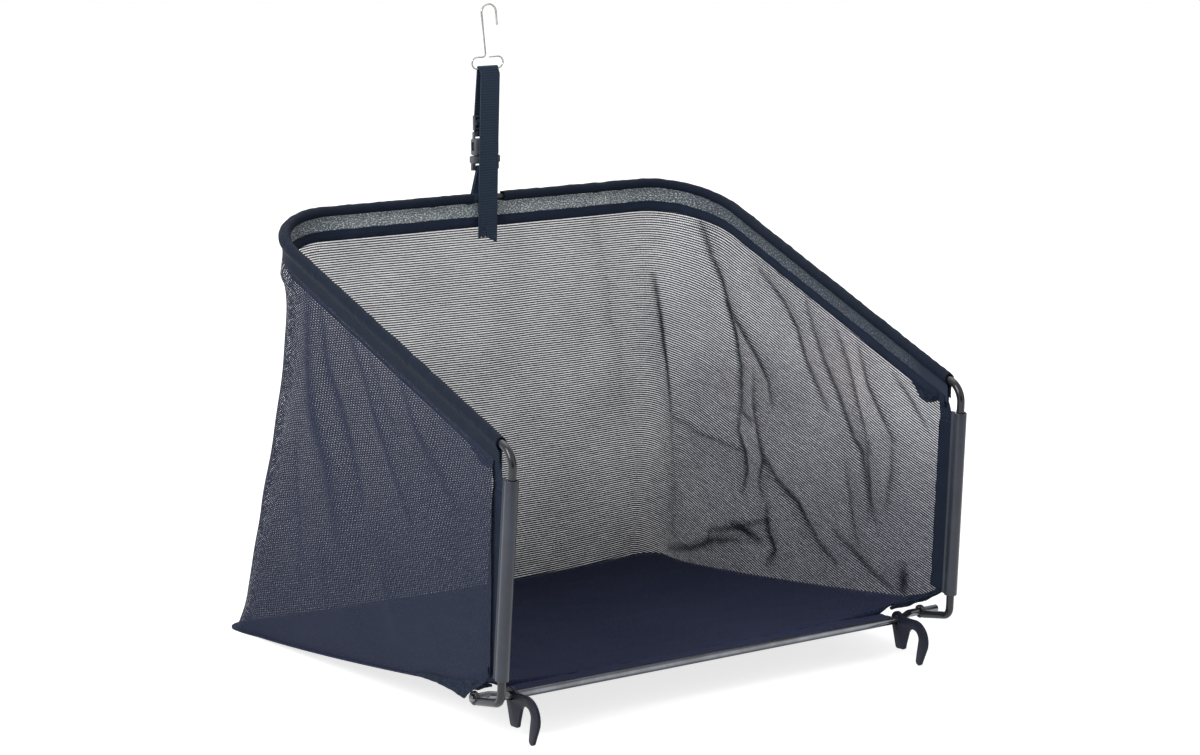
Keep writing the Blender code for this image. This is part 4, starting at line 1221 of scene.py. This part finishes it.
class GRASSBOX_OT_floor(bpy.types.Operator):
    """Dark cloth floor that sags to the rear, and its rolled front hem along the crossbar"""

    bl_idname = "grassbox.floor"
    bl_label = "Floor cloth"

    def sheet(self, colour):
        """The floor from its hem to its level rear strip, with slow ripples that fade at its edges."""
        columns, rows = ((150, 170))
        turn = rear_corner_radius
        near = [turn * (1 - math.cos(math.pi / 2 * k / 14)) for k in range(15)]
        middle = np.linspace(floor_front + turn, floor_rear - turn, rows - 30)[1:-1]
        ys = [floor_front + d for d in near] + list(middle) + [floor_rear - d for d in near[::-1]]
        shares = np.linspace(-1.0, 1.0, columns)
        shares = np.sign(shares) * (1 - (1 - np.abs(shares)) ** 1.25)
        points = np.array([[tuple(floor_point(s, y)) for s in shares] for y in ys])
        points[..., 2] += 0.0006
        inner = unit(1.0 - np.abs(shares)[None, :] ** 8) * np.ones((len(ys), 1))
        from_ends = np.minimum(np.array(ys) - floor_front, floor_rear - np.array(ys))
        ends = unit(from_ends / 0.02)[:, None]
        rippled = rumple(points, 0.075, 0.0032, 1.0) - points
        rippled += rumple(points, 0.028, 0.0012, 6.0) - points
        rippled[..., 2] = np.maximum(rippled[..., 2], -points[..., 2] + 0.0006)
        points = points + rippled * (inner * ends)[..., None]
        front = points[0]
        still = np.zeros(columns)
        sewn_share = unit((0.183 - np.abs(front[:, 0])) / 0.010)[:, None]
        hem = np.stack((front[:, 0], 0.0452 + still, bar_height + 0.0014 + still), axis=-1)
        half = np.stack((front[:, 0], 0.0466 + still, (front[:, 2] + hem[:, 2]) / 2), axis=-1)
        hem = front + (hem - front) * sewn_share + np.array((0.0, -0.0006, -0.0004)) * (1 - sewn_share)
        half = front + (half - front) * sewn_share
        points = np.concatenate((hem[None], half[None], points))
        item = cloth_piece("floor_cloth", points, points[..., :2].copy())
        cloth = stitched_cloth("Floor cloth", colour, 0.72, (0.0009, 0.0009, 0.0003), 0.35, speckle=0.35)
        sewn(item, 0.0011, cloth, "floor_fabric", "floor_sheet")

    def front_hem(self, colour):
        """The doubled hem, laid round the rear of the crossbar."""
        turn = hem_half_height + 0.0001
        outline = arc_points((hem_front + turn, 0.0), hem_half_height, 270, 90, 8)
        outline += [(0.0380, 0.0013), (0.0400, 0.0010), (0.0420, 0.0014)]
        outline += arc_points((hem_rear - turn, 0.0), hem_half_height, 90, -90, 8)
        outline += [(0.0420, -0.0014), (0.0400, -0.0010), (0.0380, -0.0013)]
        outline += [(hem_front + turn, -hem_half_height)]
        rearward = Vector((0.0, 1.0, 0.0))
        count = 220
        stations = []
        for i in range(count + 1):
            x = -hem_half + 2 * hem_half * i / count
            stations.append((Vector((x, 0.0, bar_height + 0.0002)), rearward, UP))
        points = rumple(swept_cloth(outline, stations), 0.009, 0.0006, 8.0)
        item = cloth_piece("floor_front_hem", points, swept_uvs(outline, stations))
        seams = ((0.0092, 0.0034),)
        cloth = stitched_cloth("Hem cloth", colour, 0.68, (0.00045, 0.00045, 0.0001), 0.3, seams)
        surfaced(mended(item, weld=1e-5, close=True), cloth, 50.0)
        finished(item, "box", "hem_fabric", "floor_hem")

    def execute(self, context):
        colour = tuple(context.scene.grassbox_colours.floor_cloth)
        self.sheet(colour)
        self.front_hem(colour)
        return {"FINISHED"}


def rolled_cloth(name, spine, radii, seed):
    """A twisted roll of cloth along a few points: (x, y, z) with a radius for each."""
    steps = 46
    marks = np.linspace(0.0, 1.0, len(spine))
    share = np.linspace(0.0, 1.0, steps)
    path = np.stack([np.interp(share, marks, [p[k] for p in spine]) for k in range(3)], axis=-1)
    for _ in range(3):
        path[1:-1] = (path[:-2] + 2 * path[1:-1] + path[2:]) / 4
    thick = np.interp(share, marks, radii)
    around = 28
    rows = []
    for k in range(around + 1):
        angle = math.tau * k / around
        cosine, sine = math.cos(angle), math.sin(angle)
        ring = []
        for i in range(steps):
            ahead = Vector(path[min(i + 1, steps - 1)] - path[max(i - 1, 0)]).normalized()
            side = ahead.cross(UP).normalized()
            lift = side.cross(ahead)
            pleat = 0.16 * math.sin(5 * angle + share[i] * 9.0 + seed)
            pleat += 0.10 * math.sin(9 * angle - share[i] * 5.0)
            lump = 0.45 * noise.noise(Vector((cosine * 1.3, sine * 1.3, share[i] * 6.0 + seed)))
            r = thick[i] * (1.0 + pleat + lump)
            ring.append(tuple(Vector(path[i]) + side * r * cosine + lift * r * 0.8 * sine))
        rows.append(ring)
    points = np.array(rows)
    along = run_lengths(path)
    uvs = np.stack(np.meshgrid(along, np.linspace(0.0, 0.02, around + 1)), axis=-1)
    return mended(cloth_piece(name, points, uvs), weld=1e-5, close=True)


class GRASSBOX_OT_corners(bpy.types.Operator):
    """Bunched cloth where the wall, the floor and the edge tape meet at the two front corners"""

    bl_idname = "grassbox.corners"
    bl_label = "Front corners"

    def flap(self, name, first, last, x, cloth):
        """A crumpled patch of cloth between two lines of (y, z) points."""
        share = np.linspace(0.0, 1.0, 70)
        marks = np.linspace(0.0, 1.0, len(first))
        lines = []
        for line in (first, last):
            lines.append(np.stack([np.interp(share, marks, [p[k] for p in line]) for k in (0, 1)], axis=-1))
        mix = np.linspace(0.0, 1.0, 14)[:, None, None]
        flat = lines[0][None] * (1 - mix) + lines[1][None] * mix
        points = np.concatenate((np.full(flat.shape[:2] + (1,), x), flat), axis=-1)
        aside = np.zeros_like(points)
        aside[..., 0] = 1.0
        points = rumple(points, 0.006, 0.0009, 3.0, aside)
        points = rumple(points, 0.003, 0.0005, 8.0, aside)
        item = cloth_piece(name, points, points[..., 1:].copy())
        sewn(item, 0.0008, cloth, "tape", smooth_angle=60.0)

    def execute(self, context):
        colours = context.scene.grassbox_colours
        navy = tuple(colours.tape)
        cloth = stitched_cloth("Corner cloth", navy, 0.75, (0.0009, 0.0009, 0.0003), 0.35, speckle=0.2)
        corner = (
            (0.184, 0.0455, 0.0345, 0.0012), (0.194, 0.045, 0.0365, 0.0034),
            (0.2015, 0.0415, 0.0392, 0.0040), (0.2062, 0.034, 0.0428, 0.0032),
            (0.2066, 0.022, 0.0480, 0.0026), (0.2066, 0.012, 0.0545, 0.0022),
        )
        rim_end = (
            (0.2002, 0.044, 0.2150, 0.0012), (0.2000, 0.033, 0.2085, 0.0030),
            (0.1996, 0.025, 0.2038, 0.0038), (0.1998, 0.018, 0.2040, 0.0030),
            (0.2004, 0.012, 0.2090, 0.0016),
        )
        for kind, marks, seed in (("corner_roll", corner, 2.0), ("rim_end", rim_end, 5.0)):
            for side, label in SIDES:
                spine = [(side * x, y, z) for x, y, z, _ in marks]
                item = rolled_cloth(f"{kind}_{label}", spine, [r for _, _, _, r in marks], seed + side)
                surfaced(item, cloth, 60.0)
                finished(item, "box", "tape")
        tip = (
            (0.118, 0.0302, 0.0292), (0.100, 0.0345, 0.0312), (0.080, 0.0375, 0.0322),
            (0.064, 0.0395, 0.0318), (0.054, 0.0410, 0.0312), (0.047, 0.0420, 0.0298),
            (0.043, 0.0430, 0.0296), (0.0395, 0.0440, 0.0330), (0.034, 0.0455, 0.0372),
            (0.026, 0.0490, 0.0415), (0.018, 0.0540, 0.0462), (0.010, 0.0610, 0.0530),
        )
        top_line = [(y, high) for y, high, _ in tip]
        edge_line = [(y, low) for y, _, low in tip]
        self.flap("corner_tip_left", top_line, edge_line, -0.2085, cloth)
        shoulder = (
            (0.180, -0.0064, 0.0122), (0.186, -0.0062, 0.0124), (0.192, -0.0035, 0.0122),
            (0.198, 0.0002, 0.0126), (0.204, 0.0028, 0.0140), (0.210, 0.0032, 0.0160),
        )
        front_line = [(front, z) for z, front, _ in shoulder]
        rear_line = [(rear, z) for z, _, rear in shoulder]
        for side, label in SIDES:
            self.flap(f"corner_top_{label}", front_line, rear_line, side * 0.2021, cloth)
        return {"FINISHED"}


# Strap, buckle, hook


def front_run_shift(z):
    """How far the hanging run of webbing leans to one side at this height."""
    return float(np.interp(z, (0.30, 0.372, 0.445), (-0.0026, -0.0008, 0.0016)))


def strap_path():
    """(Y, Z, lean) points from the buckle up through the slider, over the hook and down to the cut end."""
    half_webbing = 0.0006
    turn = buckle_bar_radius + strap_play + half_webbing
    path = [(rim_rear - turn, female_bar + 0.002, 0)]
    path += [(y, z, 0) for y, z in arc_points((rim_rear, female_bar), turn, 180, 360, 16)]
    weave = glide_bar_radius + strap_play + half_webbing
    for step in range(25):
        share = 2 * step / 24 - 1
        path.append((rim_rear - weave * math.cos(math.pi * share), glide_center + 0.0048 * share, 0))
    over = hook_bend_radius + strap_play + half_webbing
    for share in (0.25, 0.5, 0.75):
        y = rim_rear + weave + (hook_setback + over - rim_rear - weave) * share
        path.append((y, glide_center + 0.0048 + (hook_bar - glide_center - 0.0048) * share, 0))
    path += [(y, z, 0) for y, z in arc_points((hook_setback, hook_bar), over, 0, 180, 16)]
    tail_y = rim_rear - 0.007
    lags = ((0.03, 0.95), (0.07, 0.86), (0.12, 0.75), (0.2, 0.57), (0.3, 0.4), (0.42, 0.25), (0.5, 0.17))
    lags += ((0.6, 0.1), (0.7, 0.03), (0.8, 0.0), (0.87, 0.0), (0.94, 0.0), (1.0, 0.0))
    for share, lag in lags:
        y = tail_y + (hook_setback - over - tail_y) * lag
        path.append((y, hook_bar - (hook_bar - tail_end) * share, 1))
    return path


def loop_shift(z):
    """The short loop sits a little to one side where it grips the rail."""
    return float(np.interp(z, (0.349, 0.354, 0.358), (-0.0044, -0.0008, 0.0004)))


def webbing_piece(name, path, width, thickness, lean, slant=None, cyclic=False):
    """A ribbon of webbing along (Y, Z, lean) points, with rounded edges; slant is the cut of its end."""
    shares = np.linspace(-1.0, 1.0, 15)
    rows = []
    for k, (y, z, leans) in enumerate(path):
        aside = lean(z) if leans else 0.0
        cut_end = slant is not None and k == len(path) - 1
        row = []
        for share in shares:
            x = strap_offset + share * width / 2 + aside
            row.append((x, y, z + (slant(share) if cut_end else 0.0)))
        rows.append(row)
    points = np.array(rows)
    along = run_lengths(points[:, len(shares) // 2])
    item = cloth_piece(name, points, np.stack(np.meshgrid(shares * width / 2, along), axis=-1))
    if cyclic:
        mended(item, weld=1e-5, outward=False)
    return mended(rounded_edges(thickened(item, thickness), thickness * 0.3, 2, 50.0))


def webbing_material(name, colour):
    """Polyester webbing: twill ribs across, thicker selvedges."""
    recipe = Recipe(name, colour, 0.6)
    where = recipe.uv()
    parts = recipe.split(where)
    ribs = ridges(recipe, parts[1], 0.0021)
    warp = ridges(recipe, parts[0], 0.0011)
    weave = recipe.times(ribs, warp)
    fuzz = recipe.noise(where, 1600.0, 3.0, 0.6)
    edge = recipe.ramp(recipe.math("ABSOLUTE", parts[0]), 0.0068, 0.0078, 0.0, 1.0)
    height = recipe.scaled(ribs, 0.5, weave)
    height = recipe.scaled(fuzz, 0.4, height)
    height = recipe.scaled(edge, 0.8, height)
    tone = recipe.scaled(ribs, 0.45, recipe.times(fuzz, 0.5))
    recipe.tint(tone, 0.6, 1.7)
    recipe.set("Roughness", recipe.scaled(fuzz, 0.15, 0.5))
    recipe.set("Sheen Weight", 0.05)
    recipe.set("Sheen Roughness", 0.4)
    recipe.set("Specular IOR Level", 0.2)
    recipe.bump(height, 0.00022, 0.8)
    return recipe.material


class GRASSBOX_OT_strap(bpy.types.Operator):
    """Short loop round the rear rail, and the strap through the tri-glide and over the hook"""

    bl_idname = "grassbox.strap"
    bl_label = "Strap"

    def execute(self, context):
        sizes = context.scene.grassbox_strap
        colours = context.scene.grassbox_colours
        cloth = webbing_material("Webbing", tuple(colours.webbing))
        rod_loop = context.scene.grassbox_wire.rod_radius + strap_play + sizes.thickness / 2
        bar_loop = buckle_bar_radius + strap_play + sizes.thickness / 2
        path = arc_points((rim_rear, rim_height), rod_loop, 103, 437, 40)
        path += arc_points((rim_rear, male_bar), bar_loop, -62, 242, 26)
        path = [(y, z, 1) for y, z in path + path[:1]]
        item = webbing_piece("strap_loop", path, sizes.width, sizes.thickness, loop_shift, cyclic=True)
        surfaced(item, cloth, 45.0)
        finished(item, "box", "webbing", "strap_lower")
        item = webbing_piece(
            "strap_webbing", strap_path(), sizes.width, sizes.thickness, front_run_shift,
            lambda share: 0.0078 - share * 0.0046,
        )
        surfaced(item, cloth, 45.0)
        finished(item, "strap_end", "webbing", "strap_upper")
        return {"FINISHED"}


class GRASSBOX_OT_buckle(bpy.types.Operator):
    """Side-release buckle and the slider above it"""

    bl_idname = "grassbox.buckle"
    bl_label = "Buckle and slider"

    def execute(self, context):
        colours = context.scene.grassbox_colours
        plastic = moulded_plastic("Buckle plastic", tuple(colours.buckle_plastic), 0.42)
        for name, node, body, bevel in (
            ("buckle_lower_half", "buckle_male", "box", 0.0003),
            ("buckle_upper_half", "buckle_female", "strap_end", 0.0004),
            ("slider", "tri_glide", "strap_end", 0.00025),
        ):
            item = dressed_copy(name, node, bevel, 2)
            surfaced(item, plastic, 35.0)
            finished(item, body, "buckle_plastic", node)
        return {"FINISHED"}


class GRASSBOX_OT_hook(bpy.types.Operator):
    """Bent zinc wire hook with its flat loop"""

    bl_idname = "grassbox.hook"
    bl_label = "Wire hook"

    def execute(self, context):
        sizes = context.scene.grassbox_wire
        colours = context.scene.grassbox_colours
        end, half = 0.0046, 0.0099
        flat = [(0.0013, 0.0092)]
        flat += arc_points((half, end), end, 90, -90, 24)
        flat += arc_points((-half, end), end, -90, -270, 24)
        flat += arc_points((-0.0046, 0.0120), 0.0028, -90, -8, 12)
        flat += arc_points((0.0014, 0.0442), 0.0068, 176, -4, 32)
        flat += [(0.0092, 0.0342)]
        path = [Vector((x + strap_offset, hook_setback, z + hook_bar)) for x, z in flat]
        path = with_end_steps(path, 0.0004)
        item = swept_rod("hook_wire", path, sizes.hook_radius, 5, blunt_ends(len(path), 0.7))
        surfaced(item, zinc_finish("Zinc wire", tuple(colours.zinc_wire)), 40.0)
        finished(item, "hook", "zinc_wire", "wire_hook")
        return {"FINISHED"}


# Stage


def seen_directly(nodes, links):
    """1 for what the camera sees, also reflected or through a hole, and 0 for light that falls on the box."""
    ray = nodes.new("ShaderNodeLightPath")
    most = ray.outputs["Is Camera Ray"]
    for kind in ("Is Glossy Ray", "Is Transmission Ray"):
        larger = nodes.new("ShaderNodeMath")
        larger.operation = "MAXIMUM"
        links.new(most, larger.inputs[0])
        links.new(ray.outputs[kind], larger.inputs[1])
        most = larger.outputs[0]
    return most


class GRASSBOX_OT_stage(bpy.types.Operator):
    """Pale floor, soft lamps, white surroundings and the camera"""

    bl_idname = "grassbox.stage"
    bl_label = "Stage"

    def floor(self):
        """Paper that is lit where it is seen, so that it stays pale, and takes a soft shadow."""
        deselect()
        bpy.ops.mesh.primitive_circle_add(vertices=96, radius=6.0, fill_type="NGON", location=(0, 0, -0.0002))
        floor = settle(bpy.context.object)
        floor.name = "stage_floor"
        paper = Recipe("Pale paper", (0.66, 0.66, 0.66), 0.9)
        paper.set("Specular IOR Level", 0.1)
        paper.set("Emission Color", (1.0, 1.0, 1.0, 1.0))
        reach = paper.nodes.new("ShaderNodeVectorMath")
        reach.operation = "LENGTH"
        paper.put(reach.inputs[0], paper.place())
        fade = paper.ramp(reach.outputs["Value"], 0.35, 1.3, 0.76, 0.90, smooth=False)
        paper.set("Emission Strength", paper.times(seen_directly(paper.nodes, paper.links), fade))
        floor.data.materials.append(paper.material)

    def surroundings(self, scene):
        world = bpy.data.worlds.new("Studio")
        scene.world = world
        world.use_nodes = True
        nodes, links = world.node_tree.nodes, world.node_tree.links
        background = nodes["Background"]
        background.inputs["Color"].default_value = (1.0, 1.0, 1.0, 1.0)
        level = nodes.new("ShaderNodeMapRange")
        level.inputs["To Min"].default_value = 0.40
        level.inputs["To Max"].default_value = 1.0
        links.new(seen_directly(nodes, links), level.inputs["Value"])
        links.new(level.outputs[0], background.inputs["Strength"])

    def cards(self):
        """Dark cards that only the shiny pieces reflect."""
        dark = Recipe("Dark card", (0.02, 0.02, 0.02), 1.0)
        dark.set("Specular IOR Level", 0.0)
        for name, place, width, turn in (
            ("stage_card_front", (-1.2, -3.2, 0.55), 3.2, 0.35),
            ("stage_card_right", (3.0, -0.6, 0.75), 2.6, -1.37),
        ):
            deselect()
            bpy.ops.mesh.primitive_plane_add(size=1.0, location=place, rotation=(math.pi / 2, 0.0, -turn))
            bpy.context.object.scale = (width, 1.5, 1.0)
            card = settle(bpy.context.object)
            card.name = name
            card.data.materials.append(dark.material)
            card.visible_camera = card.visible_diffuse = False
            card.visible_shadow = card.visible_transmission = False

    def lamps(self):
        for name, place, aim, size, power in (
            ("Key", (-1.50, -0.40, 1.15), (0.0, 0.0, 0.15), 0.9, 23.0),
            ("Fill", (1.5, -1.7, 0.9), (0.0, 0.0, 0.15), 1.8, 3.5),
            ("Top", (0.2, 0.6, 2.1), (0.0, 0.0, 0.1), 1.8, 14.0),
        ):
            deselect()
            bpy.ops.object.light_add(type="AREA", location=place)
            lamp = bpy.context.object
            lamp.name = name
            lamp.data.shape = "DISK"
            lamp.data.size = size
            lamp.data.energy = power
            lamp.rotation_euler = (Vector(aim) - Vector(place)).to_track_quat("-Z", "Y").to_euler()

    def camera(self, scene):
        deselect()
        bpy.ops.object.camera_add(location=Vector((-1.319, -1.760, 0.678)) + shift)
        camera = bpy.context.object
        camera.name = "Camera"
        camera.rotation_euler = Vector((0.552, 0.811, -0.193)).to_track_quat("-Z", "Y").to_euler()
        camera.data.sensor_width = 36.0
        camera.data.lens = 93.0
        camera.data.clip_start = 0.05
        camera.data.clip_end = 50.0
        scene.camera = camera

    def execute(self, context):
        context.scene.view_settings.view_transform = "Standard"
        self.floor()
        self.surroundings(context.scene)
        self.cards()
        self.lamps()
        self.camera(context.scene)
        return {"FINISHED"}


STEPS = (
    GRASSBOX_OT_wire,
    GRASSBOX_OT_claws,
    GRASSBOX_OT_bag,
    GRASSBOX_OT_rim,
    GRASSBOX_OT_bindings,
    GRASSBOX_OT_clips,
    GRASSBOX_OT_floor,
    GRASSBOX_OT_corners,
    GRASSBOX_OT_strap,
    GRASSBOX_OT_buckle,
    GRASSBOX_OT_hook,
    GRASSBOX_OT_stage,
)


class GRASSBOX_PT_panel(bpy.types.Panel):
    """Sizes, colours and steps of the grass box"""

    bl_idname = "GRASSBOX_PT_panel"
    bl_label = "Grass Box"
    bl_space_type = "VIEW_3D"
    bl_region_type = "UI"
    bl_category = "Grass Box"

    def draw(self, context):
        layout = self.layout
        for title, group in (
            ("Wire", context.scene.grassbox_wire),
            ("Cloth", context.scene.grassbox_cloth),
            ("Strap", context.scene.grassbox_strap),
            ("Colours", context.scene.grassbox_colours),
        ):
            area = layout.box()
            area.label(text=title)
            for name in group.__annotations__:
                area.prop(group, name)
        for step in STEPS:
            layout.operator(step.bl_idname)


GROUPS = (
    ("grassbox_wire", GrassBoxWireSizes),
    ("grassbox_cloth", GrassBoxClothSizes),
    ("grassbox_strap", GrassBoxStrapSizes),
    ("grassbox_colours", GrassBoxColours),
)


def register():
    for name, group in GROUPS:
        bpy.utils.register_class(group)
        setattr(bpy.types.Scene, name, PointerProperty(type=group))
    for step in STEPS:
        bpy.utils.register_class(step)
    bpy.utils.register_class(GRASSBOX_PT_panel)


def unregister():
    bpy.utils.unregister_class(GRASSBOX_PT_panel)
    for step in reversed(STEPS):
        bpy.utils.unregister_class(step)
    for name, group in reversed(GROUPS):
        delattr(bpy.types.Scene, name)
        bpy.utils.unregister_class(group)


def main():
    """Makes every piece and the stage."""
    register()
    bpy.ops.grassbox.wire()
    bpy.ops.grassbox.claws()
    bpy.ops.grassbox.bag()
    bpy.ops.grassbox.rim()
    bpy.ops.grassbox.bindings()
    bpy.ops.grassbox.clips()
    bpy.ops.grassbox.floor()
    bpy.ops.grassbox.corners()
    bpy.ops.grassbox.strap()
    bpy.ops.grassbox.buckle()
    bpy.ops.grassbox.hook()
    bpy.ops.grassbox.stage()
    bpy.context.view_layer.update()


if __name__ == "__main__":
    main()
